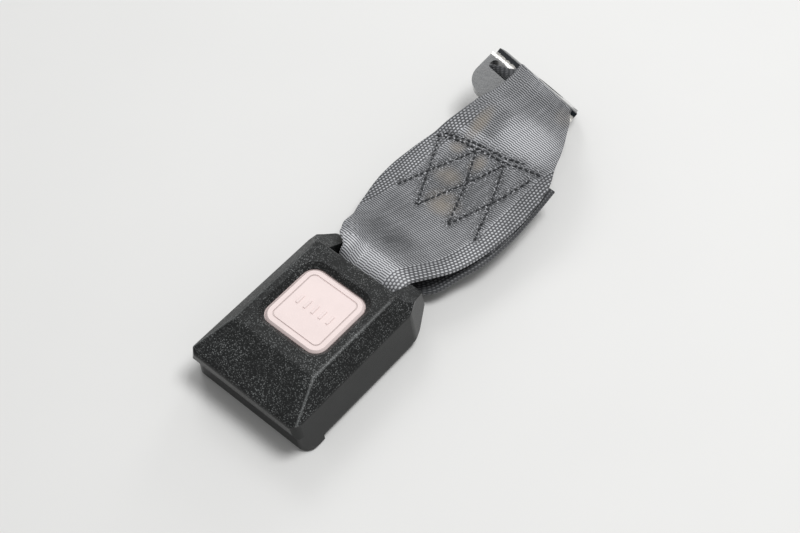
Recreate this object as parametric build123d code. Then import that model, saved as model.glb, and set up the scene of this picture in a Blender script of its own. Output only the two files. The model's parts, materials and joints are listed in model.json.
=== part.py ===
from build123d import *
import os
from math import cos, degrees, hypot, pi, radians, sin, tan

# Seat belt buckle on a short webbing strap with its anchor plate. Millimetres, +Z up.
# While it is modelled, X runs across the buckle, Y from the tongue mouth back towards the
# anchor and Z up from the face it lies on. It is exported about the bottom centre of its box.

# Cover, outside
HALF_WIDTH = 22.0
FLARE = 1.9
EAVE_Z = 17.0
TOP_Z = 22.8
BEVEL = 5.4
NOSE_SLOPE = 14.8
STEP_DROP = 2.4
EAR_LENGTH = 11.1
EAR_COVER = 5.2
EAR_TIP_Z = 13.4
EAR_NARROWING = 4.6
EAR_UNDERCUT = 7.0
EAR_BLEND = 4.0
EAR_TIP_R = 3.0
EAR_HEEL_R = 1.6
STEP_RUN = 0.4
STEP_R = 0.8
WALL = 2.0
PARTING_Z = 3.4
NOSE_RADIUS = 3.0
CREST_RADIUS = 2.4
HIP_RADIUS = 0.9
LIP_EDGE_R = 0.9

# Mouth for the tongue
MOUTH_SIDE = 1.6
MOUTH_Z0 = 8.4
MOUTH_HEIGHT = 4.5
COVE_SIDE = 1.6
COVE_DEPTH = 4.6
LIP_SETBACK = 2.1
LIP_LIFT = 0.8
LIP_CORNER = 4.5
LIP_LENGTH = 10.0
MOUTH_BLOCK = 7.2
THROAT_STEP = 0.2
THROAT_Z = 11.8
EAR_WALL_Z = 8.8

# Lower cover
FLOOR = 1.8
COVER_GAP = 0.2
LOWER_INSET = 0.7
LOWER_SETBACK = 2.8
LOWER_BEVEL = 0.8
LOWER_CORNER = 1.0
REST_SIDE = 4.0
REST_Y = (19.0, 38.0)
REST_HALF = 3.0

# Steel frame
STEEL = 2.6
BASE_Z = 5.6
FRAME_ROOM = 6.0
FRAME_WALL = 2.0
FRAME_FRONT = 7.6
CHEEK_FRONT = 12.5
CHEEK_SETBACK = 2.8
CHEEK_LOW_Z = 12.8
CHEEK_HIGH_Z = 16.4
CHEEK_CROWN = 2.4
CHEEK_R = 1.5
BAR_DEPTH = 4.6
BAR_ROUND = 1.0
BEND_OUT = 3.0
BEND_IN = 0.8
NECK_STEP = 1.5
SIDE_BAR = 2.4
WEB_SLOT = 5.2
SLOT_AFTER_SEAT = 2.2

# Latch, its pin and spring
PIN_Y = 28.0
PIN_Z = 13.3
PIN_R = 1.5
PIN_FIT = 0.05
PIN_END_GAP = 0.1
GROOVE = 0.5
BARREL_WALL = 1.05
LATCH_ROOM = 9.0
LATCH_PLATE = 2.0
HOOK_ARM = 11.0
HOOK_LENGTH = 2.6
HOOK_BITE = 0.4
HOOK_TIP = 0.9
TAIL_ARM = 11.5
TAIL_END = 1.4
TAIL_THICK = 1.4
LATCH_TOP_RISE = 0.6
LATCH_EDGE = 0.5
CLIP_THICK = 0.7
CLIP_R = 2.7
CLIP_FIT = 0.05

# Button
BUTTON_ROOM = 0.6
BUTTON_HALF_Y = 12.4
BUTTON_DROP = 1.4
BUTTON_R = 4.4
BUTTON_RIM = 0.7
BUTTON_SKIN = 1.6
BUTTON_FLANGE = 1.4
FLANGE_THICK = 1.2
WINDOW_GAP = 0.35
BEZEL = 1.6
TRAVEL_GAP = 0.4
PRESS_TRAVEL = 3.4
FOOT_GAP = 0.3
FOOT_SIDE = 1.0
FOOT_DEPTH = 1.8
FOOT_RIB = 1.2
FOOT_RIB_REACH = 3.4
STOP_ROOM = 4.8
STOP_HALF = 1.6
STOP_GAP = 0.1
RELIEF_RISE = 0.2

# Short strokes that stand on the button in a row, and the line inside its rim
STROKE_COUNT = 5
STROKE_PITCH = 3.1
STROKE_LENGTH = 3.6
STROKE_WIDTH = 1.0
STROKE_HEIGHT = 0.3
LINE_INSET = 2.2
LINE_WIDTH = 0.5
LINE_DEPTH = 0.25

# Ejector
EJECTOR_ROOM = 1.6
EJECTOR_THICK = 2.0
EJECTOR_FRONT = 16.4
EJECTOR_BACK = 25.6
EJECTOR_TRAVEL = 8.4
EJECTOR_LIFT = 0.2
EJECTOR_CORNER = 1.0
HOOK_CLEARANCE = 1.2
NOTCH_END = 20.6

# Springs and their plastic seat
SPRING_WIRE = 0.5
COIL_STEPS = 8
WIRE_SIDES = 5
EJECTOR_SPRING_SIDE = 2.4
EJECTOR_SPRING_R = 1.3
EJECTOR_SPRING_LIFT = 1.65
EJECTOR_COILS = 8
EJECTOR_SPRING_ROOM = 11.0
BUTTON_SPRING_ROOM = 2.0
BUTTON_SPRING_LEAD = 3.0
BUTTON_SPRING_R = 1.45
BUTTON_COILS = 6
LATCH_SPRING_R = 1.45
LATCH_SPRING_Y = 17.6
LATCH_COILS = 5
SEAT_DEPTH = 2.6
SEAT_HEIGHT = 4.2
SEAT_ARM = 1.2
SEAT_REACH = 5.2
SEAT_SIDE_GAP = 0.1
PEG_R = 0.8
PEG_RIB = 0.6
PEG_LENGTH = 1.4
STAKE_R = 1.2
STAKE_ROOM = 3.5
STAKE_HEAD = 0.8
STAKE_HEAD_R = 1.7

# Tongue guide
GUIDE_LIP = 2.8
GUIDE_FLOOR = 1.1
GUIDE_GAP = 0.15

# Cover screws
SCREW_SIDE = 0.5
SCREW_FRONT_Y = 15.0
SCREW_BACK_STEP = 2.0
SCREW_R = 1.1
SCREW_FIT = 0.05
SCREW_SEAT = 1.3
SCREW_HEAD_R = 1.9
SCREW_HEAD = 0.9
SCREW_SLOT = 0.5
SCREW_LENGTH = 8.0
POST_R = 2.1
POST_TOP = 15.5

# Webbing strap
WEB_THICK = 1.2
WEB_CLEAR = 0.35
WEB_SIDE_GAP = 1.2
WEB_TURN = 0.6
LEAD = 2.4
LEAD_R = 10.0
SWELL_R = 20.0
SWELL_DROP = 0.4
POCKET = 1.5
SEWN_START = 23.2
SEWN_TO_PLATE = 29.6
SEWN_FRONT_Z = 9.4
SEWN_BACK_Z = 11.6
SEWN_LAP = 5.5

# Edges of the strap in plan as (x, share of the way from the ears to the plate, radius)
STRAP_RIGHT = ((19.5, 0.12, 12.0), (26.0, 0.29, 20.0), (27.0, 0.47, 30.0),
               (25.8, 0.66, 20.0), (21.5, 0.81, 20.0), (12.3, 0.95, 4.0), (12.3, 1.12, 0))
STRAP_LEFT = ((-19.5, 0.10, 10.0), (-24.0, 0.27, 20.0), (-23.6, 0.49, 30.0),
              (-18.4, 0.75, 20.0), (-13.7, 0.90, 8.0), (-16.2, 1.00, 4.0), (-16.2, 1.12, 0))

# Anchor plate
PLATE = 3.0
PLATE_HALF = 20.0
PLATE_X = -5.5
PLATE_AWAY = 86.8
PLATE_Z = 21.5
PLATE_TURN = 11.0
PLATE_PITCH = 8.0
PLATE_BEND = 62.0
BEND_RADIUS = 2.5
LEG_LENGTH = 15.6
LOOP_BAR = 10.2
LOOP_SLOT = 3.8
SLOT_R = 1.8
PLATE_SIDE = 3.0
LEG_TAPER = 2.6
LEG_CORNER = 8.0
BOLT_LEG_R = 12.4
BOLT_HOLE_R = 5.75
LOOP_INNER = 2.8
LOOP_SINK = 1.5
LOOP_LEAD = 1.0
LOOP_LEAD_R = 12.0
LOOP_POCKET = 3.5
LOOP_RIGHT_GAP = 0.5
LOOP_LEFT_GAP = 6.4

# Places worked out from the sizes above, across the buckle
FRAME_HALF = HALF_WIDTH - FRAME_ROOM
FRAME_IN = FRAME_HALF - FRAME_WALL
RIDGE_HALF = HALF_WIDTH - BEVEL
MOUTH_HALF = FRAME_HALF - MOUTH_SIDE
COVE_HALF = HALF_WIDTH - COVE_SIDE
WEB_SLOT_HALF = FRAME_HALF - SIDE_BAR
THROAT_HALF = WEB_SLOT_HALF - THROAT_STEP
WEB_THROAT_HALF = THROAT_HALF - WEB_SIDE_GAP
GUIDE_NECK = FRAME_HALF - NECK_STEP
GUIDE_HALF = FRAME_HALF - GUIDE_LIP
REST_X = FRAME_HALF - REST_SIDE
SCREW_X = FRAME_HALF + SCREW_SIDE + POST_R
LATCH_HALF = FRAME_IN - LATCH_ROOM
FOOT_HALF = LATCH_HALF - FOOT_SIDE
EJECTOR_HALF = FRAME_IN - EJECTOR_ROOM
EJECTOR_SPRING_X = LATCH_HALF + EJECTOR_SPRING_SIDE
BUTTON_HALF_X = FRAME_IN - BUTTON_FLANGE - BUTTON_ROOM
BUTTON_SPRING_X = FRAME_IN - BUTTON_SPRING_ROOM
STAKE_X = FRAME_IN - STAKE_ROOM
STOP_X = FRAME_IN - STOP_ROOM
LOOP_SLOT_HALF = PLATE_HALF - PLATE_SIDE
LOOP_RIGHT = LOOP_SLOT_HALF - LOOP_RIGHT_GAP
LOOP_LEFT = LOOP_LEFT_GAP - LOOP_SLOT_HALF

# Places worked out from the sizes above, from front to back
SEAT_Y = EJECTOR_BACK + EJECTOR_TRAVEL + EJECTOR_SPRING_ROOM
STAKE_Y = SEAT_Y + SEAT_DEPTH / 2
BUTTON_Y = SEAT_Y + SEAT_DEPTH - BUTTON_FLANGE - BUTTON_HALF_Y
BUTTON_SPRING_Y = SEAT_Y - BUTTON_SPRING_LEAD
SLOT_FRONT = SEAT_Y + SEAT_DEPTH + SLOT_AFTER_SEAT
SLOT_BACK = SLOT_FRONT + WEB_SLOT
BAR_END = SLOT_BACK + BAR_DEPTH
CHEEK_BACK = SLOT_FRONT - CHEEK_SETBACK
SCREW_BACK_Y = CHEEK_BACK + SCREW_BACK_STEP
EAR_END = BAR_END + EAR_COVER
PLATEAU_END = EAR_END - EAR_LENGTH
LOWER_END = EAR_END - LOWER_SETBACK
SEWN_FRONT = EAR_END + SEWN_START
PLATE_Y = EAR_END + PLATE_AWAY
SEWN_BACK = PLATE_Y - SEWN_TO_PLATE

# Heights and angles worked out from the sizes above
MOUTH_Z1 = MOUTH_Z0 + MOUTH_HEIGHT
BASE_TOP = BASE_Z + STEEL
ROOF_Z = TOP_Z - WALL
FLARE_ANGLE = FLARE / (EAVE_Z - PARTING_Z)
BARREL_R = PIN_R + PIN_FIT + BARREL_WALL
BUTTON_TOP = TOP_Z - BUTTON_DROP
FLANGE_TOP = ROOF_Z - TRAVEL_GAP
FLANGE_Z = FLANGE_TOP - FLANGE_THICK
HOOK_BACK = PIN_Y - HOOK_ARM + HOOK_LENGTH / 2
LATCH_TOP = PIN_Z + LATCH_TOP_RISE
TAIL_Y = PIN_Y + TAIL_ARM
SEWN_THICK = 3 * WEB_THICK
LEG_TILT = radians(90 - PLATE_BEND + PLATE_PITCH)
BOLT_LEG_LENGTH = (PLATE_Z + BEND_RADIUS * sin(LEG_TILT)
                   - (BEND_RADIUS + PLATE) * cos(radians(PLATE_PITCH))) / cos(LEG_TILT)


def profile(corners):
    """Closed outline through (a, b, radius) corners, each rounded by its own radius."""
    count = len(corners)
    spans = []
    for i, (a, b, radius) in enumerate(corners):
        before = corners[i - 1]
        after = corners[(i + 1) % count]
        to_before = Vector(before[0] - a, before[1] - b).normalized()
        to_after = Vector(after[0] - a, after[1] - b).normalized()
        here = Vector(a, b)
        if radius == 0:
            spans.append((here, None, here))
            continue
        half = radians(to_before.get_angle(to_after)) / 2
        reach = radius / tan(half)
        middle = (to_before + to_after).normalized()
        spans.append((here + to_before * reach,
                      here + middle * (radius / sin(half) - radius),
                      here + to_after * reach))
    edges = []
    for i, (start, middle, end) in enumerate(spans):
        if middle is not None:
            edges.append(ThreePointArc(start, middle, end))
        following = spans[(i + 1) % count][0]
        if (following - end).length > 1e-6:
            edges.append(Line(end, following))
    return make_face(edges)


def mirrored(half):
    """Corners of the +X half, followed by the same corners on the -X side."""
    return half + [(-a, b, radius) for a, b, radius in reversed(half)]


def box(x0, x1, y0, y1, z0, z1):
    middle = Pos((x0 + x1) / 2, (y0 + y1) / 2, (z0 + z1) / 2)
    return middle * Box(x1 - x0, y1 - y0, z1 - z0)


def side_prism(face, half):
    """Extrude a (y, z) face across the part."""
    return extrude(Plane.YZ * face, amount=half, both=True)


def end_prism(face, y0, y1):
    """Extrude an (x, z) face along the part."""
    return extrude(Pos(0, y0, 0) * (Plane.XZ * face), amount=-(y1 - y0))


def rod(radius, start, end):
    """Round bar between two points."""
    line = Vector(*end) - Vector(*start)
    return Plane(origin=start, z_dir=line) * Cylinder(
        radius, line.length, align=(Align.CENTER, Align.CENTER, Align.MIN))


def peg(start, end):
    """Moulded spring peg of two crossed ribs."""
    line = Vector(*end) - Vector(*start)
    cross = Rectangle(2 * PEG_R, PEG_RIB) + Rectangle(PEG_RIB, 2 * PEG_R)
    return extrude(Plane(origin=start, z_dir=line) * cross, amount=line.length)


def coil(radius, wire, turns, start, end):
    """Open compression spring between two flat seats, in short straight steps to keep it light."""
    line = Vector(*end) - Vector(*start)
    rise = (line.length - wire) / (turns * COIL_STEPS)
    points = []
    for i in range(turns * COIL_STEPS + 1):
        angle = 2 * pi * i / COIL_STEPS
        points.append((radius * cos(angle), radius * sin(angle), wire / 2 + rise * i))
    path = Polyline(*points)
    section = Plane(origin=points[0], z_dir=path % 0) * RegularPolygon(wire / 2, WIRE_SIDES)
    return Plane(origin=start, z_dir=line) * sweep(section, path=path, transition=Transition.RIGHT)


# Outer form of the cover

def half_width_at(z):
    """Half width of the flared side wall at a height."""
    return HALF_WIDTH + (EAVE_Z - z) * FLARE_ANGLE


def cover_block(inset, front, z0):
    """The hipped outer form, or with an inset the cavity inside it."""
    half = HALF_WIDTH - inset
    end = EAR_END - inset
    corner = max(NOSE_RADIUS - inset, WALL / 2)
    plan = Pos(0, 0, EAVE_Z) * profile(mirrored([
        (half, front, corner),
        (half, PLATEAU_END - inset, EAR_BLEND),
        (half - EAR_NARROWING, end, corner)]))
    lower = extrude(plan, amount=z0 - EAVE_Z, taper=-degrees(FLARE_ANGLE))
    upper = extrude(plan, amount=TOP_Z - EAVE_Z)
    rise = TOP_Z - EAVE_Z
    slant = hypot(BEVEL, rise)
    eave = EAVE_Z - inset * (slant - rise) / BEVEL
    ridge = RIDGE_HALF - inset * (slant - BEVEL) / rise
    low = z0 - 1
    crest = max(CREST_RADIUS - inset, 0)
    roof = end_prism(profile(mirrored([
        (half + (eave - low) * FLARE_ANGLE, low, 0),
        (half, eave, crest),
        (ridge, TOP_Z - inset, crest)])), front - 1, end + 1)
    return (lower + upper) & roof


def outer_form():
    nose = side_prism(profile([
        (LIP_SETBACK, LIP_LIFT, LIP_EDGE_R),
        (LIP_SETBACK, MOUTH_Z0, LIP_EDGE_R),
        (0, MOUTH_Z1, LIP_EDGE_R),
        (0, EAVE_Z, CREST_RADIUS),
        (NOSE_SLOPE, TOP_Z, CREST_RADIUS),
        (PLATEAU_END, TOP_Z, STEP_R),
        (PLATEAU_END + STEP_RUN, TOP_Z - STEP_DROP, STEP_R),
        (EAR_END, EAR_TIP_Z, EAR_TIP_R),
        (EAR_END, MOUTH_Z0, EAR_HEEL_R),
        (EAR_END - EAR_UNDERCUT, PARTING_Z, EAR_TIP_R),
        (LIP_LENGTH, PARTING_Z, 0),
        (LIP_LENGTH, LIP_LIFT, 0)]), HALF_WIDTH * 2)
    form = cover_block(0, 0, LIP_LIFT) & nose
    side = half_width_at(LIP_LIFT)
    zone = box(-side - 1, side + 1, -1, LIP_CORNER * 2, 0, (MOUTH_Z0 + MOUTH_Z1) / 2)
    rounded = extrude(profile(mirrored([
        (side, LIP_SETBACK, LIP_CORNER),
        (side, LIP_CORNER * 3, 0)])), amount=MOUTH_Z1)
    return form - (zone - rounded)


def cavity():
    slope = (TOP_Z - EAVE_Z) / NOSE_SLOPE
    drop = WALL * hypot(1, slope)
    ear_slope = (TOP_Z - STEP_DROP - EAR_TIP_Z) / (EAR_END - PLATEAU_END)
    ear_drop = WALL * hypot(1, ear_slope)
    back = EAR_END - WALL
    low = LIP_LIFT + WALL
    inside = side_prism(profile([
        (MOUTH_BLOCK, low, 0),
        (MOUTH_BLOCK, EAVE_Z + slope * MOUTH_BLOCK - drop, 0),
        ((ROOF_Z + drop - EAVE_Z) / slope, ROOF_Z, 0),
        (PLATEAU_END - WALL, ROOF_Z, 0),
        (PLATEAU_END - WALL, TOP_Z - STEP_DROP - ear_drop, 0),
        (back, EAR_TIP_Z - ear_drop + WALL * ear_slope, 0),
        (back, MOUTH_Z0 + WALL / 2, 0),
        (EAR_END - EAR_UNDERCUT - WALL / 2, PARTING_Z - 1, 0),
        (LIP_LENGTH, PARTING_Z - 1, 0),
        (LIP_LENGTH, low, 0)]), HALF_WIDTH * 2)
    return cover_block(WALL, MOUTH_BLOCK - 1, LIP_LIFT) & inside


def throat():
    """Open back between the ears, below and behind the plateau."""
    under = box(-THROAT_HALF, THROAT_HALF, PLATEAU_END - WALL - 1, EAR_END + 1, 0, THROAT_Z)
    behind = box(-THROAT_HALF, THROAT_HALF, PLATEAU_END, EAR_END + 1, 0, TOP_Z + 1)
    return under + behind


def ear_walls(outer):
    """Inner walls of the ears, which stand above the steel frame."""
    walls = None
    for side in (-1, 1):
        x0, x1 = sorted((side * THROAT_HALF, side * (THROAT_HALF + WALL)))
        wall = outer & box(x0, x1, PLATEAU_END - WALL, EAR_END, EAR_WALL_Z, TOP_Z)
        walls = wall if walls is None else walls + wall
    return walls


def screw_places():
    return [(x, y) for x in (-SCREW_X, SCREW_X) for y in (SCREW_FRONT_Y, SCREW_BACK_Y)]


def screw_post(x, y):
    wall = half_width_at(PARTING_Z) - WALL / 2
    inner, outer = sorted((x, wall if x > 0 else -wall))
    rib = box(inner, outer, y - WALL / 2, y + WALL / 2, PARTING_Z, POST_TOP)
    return Pos(x, y, 0) * rod(POST_R, (0, 0, PARTING_Z), (0, 0, POST_TOP)) + rib


def button_plan(margin):
    """Rounded square of the button, grown by a margin."""
    half_x = BUTTON_HALF_X + margin
    half_y = BUTTON_HALF_Y + margin
    return Pos(0, BUTTON_Y) * RectangleRounded(2 * half_x, 2 * half_y, BUTTON_R + margin)


def upper_cover():
    outer = outer_form()
    hips = [e for e in outer.edges()
            if e.geom_type == GeomType.LINE and abs((e % 0.5).X * (e % 0.5).Y * (e % 0.5).Z) > 0.01]
    outer = fillet([e for e in hips if (e @ 0.5).Y < NOSE_SLOPE and (e @ 0.5).Z > EAVE_Z], HIP_RADIUS)
    cover = outer - cavity() + ear_walls(outer) - throat()
    for x, y in screw_places():
        cover += screw_post(x, y) & outer
        cover -= rod(SCREW_R + SCREW_FIT, (x, y, PARTING_Z - 1), (x, y, SCREW_LENGTH + 2))
    cover -= box(-COVE_HALF, COVE_HALF, -1, COVE_DEPTH, MOUTH_Z0, MOUTH_Z1)
    cover -= box(-MOUTH_HALF, MOUTH_HALF, -1, MOUTH_BLOCK + 1, MOUTH_Z0, MOUTH_Z1)
    window = extrude(Pos(0, 0, ROOF_Z - 1) * button_plan(WINDOW_GAP), amount=WALL + 2)
    bevel = loft([Pos(0, 0, TOP_Z - BEZEL) * button_plan(WINDOW_GAP),
                  Pos(0, 0, TOP_Z + 0.1) * button_plan(WINDOW_GAP + BEZEL + 0.1)])
    cover -= window + bevel
    peg_y = LATCH_SPRING_Y
    return cover + peg((0, peg_y, ROOF_Z - PEG_LENGTH), (0, peg_y, ROOF_Z + WALL / 2))


def lower_cover():
    half = half_width_at(PARTING_Z) - LOWER_INSET
    front = LIP_LENGTH + COVER_GAP
    bend = PLATEAU_END - COVER_GAP

    def tray(inset):
        return profile(mirrored([
            (half - inset, front + inset, LOWER_CORNER),
            (half - inset, bend, EAR_BLEND),
            (half - EAR_NARROWING - inset, LOWER_END - inset, EAR_HEEL_R)]))

    shell = extrude(tray(0), amount=PARTING_Z)
    shell = chamfer(shell.faces().sort_by(Axis.Z)[0].edges(), LOWER_BEVEL)
    shell -= extrude(Pos(0, 0, FLOOR) * tray(WALL), amount=PARTING_Z)
    for x, y in screw_places():
        shell += rod(POST_R + WALL / 2, (x, y, 0), (x, y, PARTING_Z))
        shell -= rod(SCREW_R + SCREW_FIT, (x, y, -1), (x, y, PARTING_Z + 1))
        shell -= rod(SCREW_HEAD_R + 3 * SCREW_FIT, (x, y, -1), (x, y, SCREW_SEAT))
    for x in (-REST_X, REST_X):
        for y in REST_Y:
            shell += box(x - WALL / 2, x + WALL / 2, y - REST_HALF, y + REST_HALF, FLOOR, BASE_Z)
    return shell


def cover_screws():
    screws = []
    for x, y in screw_places():
        head = rod(SCREW_HEAD_R, (x, y, SCREW_SEAT - SCREW_HEAD), (x, y, SCREW_SEAT))
        shank = rod(SCREW_R, (x, y, SCREW_SEAT), (x, y, SCREW_SEAT + SCREW_LENGTH))
        recess = Pos(x, y, SCREW_SEAT - SCREW_HEAD) * (
            Box(1.2 * SCREW_HEAD_R, SCREW_SLOT, SCREW_HEAD) + Box(SCREW_SLOT, 1.2 * SCREW_HEAD_R, SCREW_HEAD))
        screws.append(head + shank - recess)
    return Compound(screws)


# Steel parts

def frame():
    """Bent steel channel with the webbing bar at its back."""
    outer = profile(mirrored([(FRAME_HALF, BASE_Z, BEND_OUT), (FRAME_HALF, CHEEK_HIGH_Z, 0)]))
    inner = profile(mirrored([(FRAME_IN, BASE_TOP, BEND_IN), (FRAME_IN, CHEEK_HIGH_Z + 1, 0)]))
    channel = end_prism(outer, CHEEK_FRONT, CHEEK_BACK) - end_prism(inner, CHEEK_FRONT, CHEEK_BACK)
    high = PIN_R + CHEEK_CROWN
    ramp = CHEEK_HIGH_Z - CHEEK_LOW_Z
    channel &= side_prism(profile([
        (CHEEK_FRONT, BASE_Z, 0),
        (CHEEK_FRONT, CHEEK_LOW_Z, CHEEK_R),
        (PIN_Y - high - ramp, CHEEK_LOW_Z, CHEEK_R),
        (PIN_Y - high, CHEEK_HIGH_Z, CHEEK_R),
        (PIN_Y + high, CHEEK_HIGH_Z, CHEEK_R),
        (PIN_Y + high + ramp, CHEEK_LOW_Z, CHEEK_R),
        (CHEEK_BACK, CHEEK_LOW_Z, CHEEK_R),
        (CHEEK_BACK, BASE_Z, 0)]), FRAME_HALF)
    neck = FRAME_HALF - BEND_OUT / 2
    front = extrude(Pos(0, 0, BASE_Z) * profile(mirrored([
        (GUIDE_NECK, FRAME_FRONT, BAR_ROUND),
        (GUIDE_NECK, CHEEK_FRONT + 1, 0)])), amount=STEEL)
    back = extrude(Pos(0, 0, BASE_Z) * profile(mirrored([
        (neck, CHEEK_BACK - 1, 0),
        (FRAME_HALF, CHEEK_BACK + FRAME_WALL, BAR_ROUND),
        (FRAME_HALF, BAR_END, FRAME_WALL)])), amount=STEEL)
    steel = channel + front + back
    open_back = profile(mirrored([
        (WEB_SLOT_HALF, SLOT_FRONT, BAR_ROUND),
        (WEB_SLOT_HALF, BAR_END + 1, 0)]))
    steel -= extrude(Pos(0, 0, BASE_Z - 1) * open_back, amount=STEEL + 2)
    steel += side_prism(profile([
        (SLOT_BACK, BASE_Z, BAR_ROUND),
        (SLOT_BACK, BASE_TOP, BAR_ROUND),
        (BAR_END, BASE_TOP, BAR_ROUND),
        (BAR_END, BASE_Z, BAR_ROUND)]), WEB_SLOT_HALF + 0.5)
    hook_half = LATCH_HALF + HOOK_CLEARANCE / 2
    hook_front = PIN_Y - HOOK_ARM - HOOK_LENGTH / 2
    steel -= box(-hook_half, hook_half, hook_front - HOOK_CLEARANCE,
                 HOOK_BACK + HOOK_CLEARANCE / 2, BASE_Z - 1, BASE_TOP + 1)
    steel -= rod(PIN_R + PIN_FIT, (-FRAME_HALF - 1, PIN_Y, PIN_Z), (FRAME_HALF + 1, PIN_Y, PIN_Z))
    for x in (-STAKE_X, STAKE_X):
        steel -= rod(STAKE_R, (x, STAKE_Y, BASE_Z - 1), (x, STAKE_Y, BASE_TOP + 1))
    return steel


def latch_pin():
    """Pin with a head on one side and a groove for its clip on the other."""
    head = rod(CLIP_R, (-FRAME_HALF - CLIP_THICK - PIN_END_GAP, PIN_Y, PIN_Z),
               (-FRAME_HALF - PIN_END_GAP, PIN_Y, PIN_Z))
    groove = FRAME_HALF + PIN_END_GAP
    shank = rod(PIN_R, (-FRAME_HALF - PIN_END_GAP, PIN_Y, PIN_Z), (groove, PIN_Y, PIN_Z))
    neck = rod(PIN_R - GROOVE, (groove, PIN_Y, PIN_Z), (groove + CLIP_THICK, PIN_Y, PIN_Z))
    tip = rod(PIN_R, (groove + CLIP_THICK, PIN_Y, PIN_Z), (groove + 2 * CLIP_THICK, PIN_Y, PIN_Z))
    return head + shank + neck + tip


def pin_clip():
    """Open ring that snaps into the groove of the pin from above."""
    groove = FRAME_HALF + PIN_END_GAP
    start = (groove + CLIP_FIT, PIN_Y, PIN_Z)
    end = (groove + CLIP_THICK - CLIP_FIT, PIN_Y, PIN_Z)
    ring = rod(CLIP_R, start, end) - rod(PIN_R - GROOVE + CLIP_FIT, start, end)
    half = PIN_R - GROOVE
    return ring - box(start[0] - 1, end[0] + 1, PIN_Y - half, PIN_Y + half, PIN_Z - CLIP_R - 1, PIN_Z)


def latch():
    """Rocker that hooks the tongue in front of its pin and is pressed down behind it."""
    hook_y = PIN_Y - HOOK_ARM
    front = hook_y - HOOK_LENGTH / 2
    tip = BASE_TOP - HOOK_BITE
    under = LATCH_TOP - LATCH_PLATE
    body = side_prism(profile([
        (front, LATCH_TOP, LATCH_EDGE),
        (TAIL_Y + TAIL_END, LATCH_TOP, LATCH_EDGE),
        (TAIL_Y + TAIL_END, LATCH_TOP - TAIL_THICK, LATCH_EDGE),
        (PIN_Y + BARREL_R, LATCH_TOP - TAIL_THICK, 0),
        (PIN_Y, under, 0),
        (HOOK_BACK, under, LATCH_EDGE),
        (HOOK_BACK, tip, LATCH_EDGE / 2),
        (HOOK_BACK - HOOK_TIP, tip, LATCH_EDGE / 2),
        (front, tip + HOOK_LENGTH - HOOK_TIP, LATCH_EDGE)]), LATCH_HALF)
    ends = (-LATCH_HALF, PIN_Y, PIN_Z), (LATCH_HALF, PIN_Y, PIN_Z)
    body += peg((0, LATCH_SPRING_Y, LATCH_TOP - 0.2), (0, LATCH_SPRING_Y, LATCH_TOP + PEG_LENGTH))
    return body + rod(BARREL_R, *ends) - rod(PIN_R + PIN_FIT, *ends)


# Sliding plastic parts

def button():
    top = extrude(Pos(0, 0, FLANGE_Z) * button_plan(0), amount=BUTTON_TOP - FLANGE_Z)
    top = chamfer(top.faces().sort_by(Axis.Z)[-1].edges(), BUTTON_RIM)
    flange = extrude(Pos(0, 0, FLANGE_Z) * button_plan(BUTTON_FLANGE), amount=FLANGE_THICK)
    body = top + flange
    pocket_z = BUTTON_TOP - BUTTON_SKIN
    body -= extrude(Pos(0, 0, FLANGE_Z - 1) * button_plan(-BUTTON_FLANGE), amount=pocket_z - FLANGE_Z + 1)
    relief = LATCH_HALF + HOOK_CLEARANCE
    front = BUTTON_Y - BUTTON_HALF_Y
    body -= box(-relief, relief, front - BUTTON_FLANGE - 1, front + BUTTON_FLANGE + 1,
                FLANGE_Z - 1, pocket_z + RELIEF_RISE)
    body += box(-FOOT_HALF, FOOT_HALF, TAIL_Y - FOOT_DEPTH / 2, TAIL_Y + FOOT_DEPTH / 2,
                LATCH_TOP + FOOT_GAP, pocket_z + RELIEF_RISE)
    inner = FOOT_HALF - FOOT_RIB
    for x0, x1 in ((-FOOT_HALF, -inner), (inner, FOOT_HALF)):
        body += box(x0, x1, TAIL_Y - FOOT_RIB_REACH, TAIL_Y + FOOT_RIB_REACH,
                    FLANGE_Z - FLANGE_THICK, pocket_z + RELIEF_RISE)
    stop_z = BASE_TOP + SEAT_HEIGHT + PRESS_TRAVEL + STOP_GAP
    for x in (-STOP_X, STOP_X):
        body += box(x - STOP_HALF, x + STOP_HALF, SEAT_Y + STOP_GAP, SEAT_Y + SEAT_DEPTH - STOP_GAP,
                    stop_z, FLANGE_TOP)
    for x in (-BUTTON_SPRING_X, BUTTON_SPRING_X):
        body += peg((x, BUTTON_SPRING_Y, FLANGE_Z - PEG_LENGTH), (x, BUTTON_SPRING_Y, FLANGE_Z + 0.2))
    line = button_plan(-LINE_INSET) - button_plan(-LINE_INSET - LINE_WIDTH)
    body -= extrude(Pos(0, 0, BUTTON_TOP - LINE_DEPTH) * line, amount=LINE_DEPTH + 1)
    middle = (STROKE_COUNT - 1) / 2
    for i in range(STROKE_COUNT):
        x = (i - middle) * STROKE_PITCH
        stroke = box(x - STROKE_WIDTH / 2, x + STROKE_WIDTH / 2, BUTTON_Y - STROKE_LENGTH / 2,
                     BUTTON_Y + STROKE_LENGTH / 2, BUTTON_TOP - 0.1, BUTTON_TOP + STROKE_HEIGHT)
        body += chamfer(stroke.faces().sort_by(Axis.Z)[-1].edges(), STROKE_HEIGHT / 2)
    return body


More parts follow.
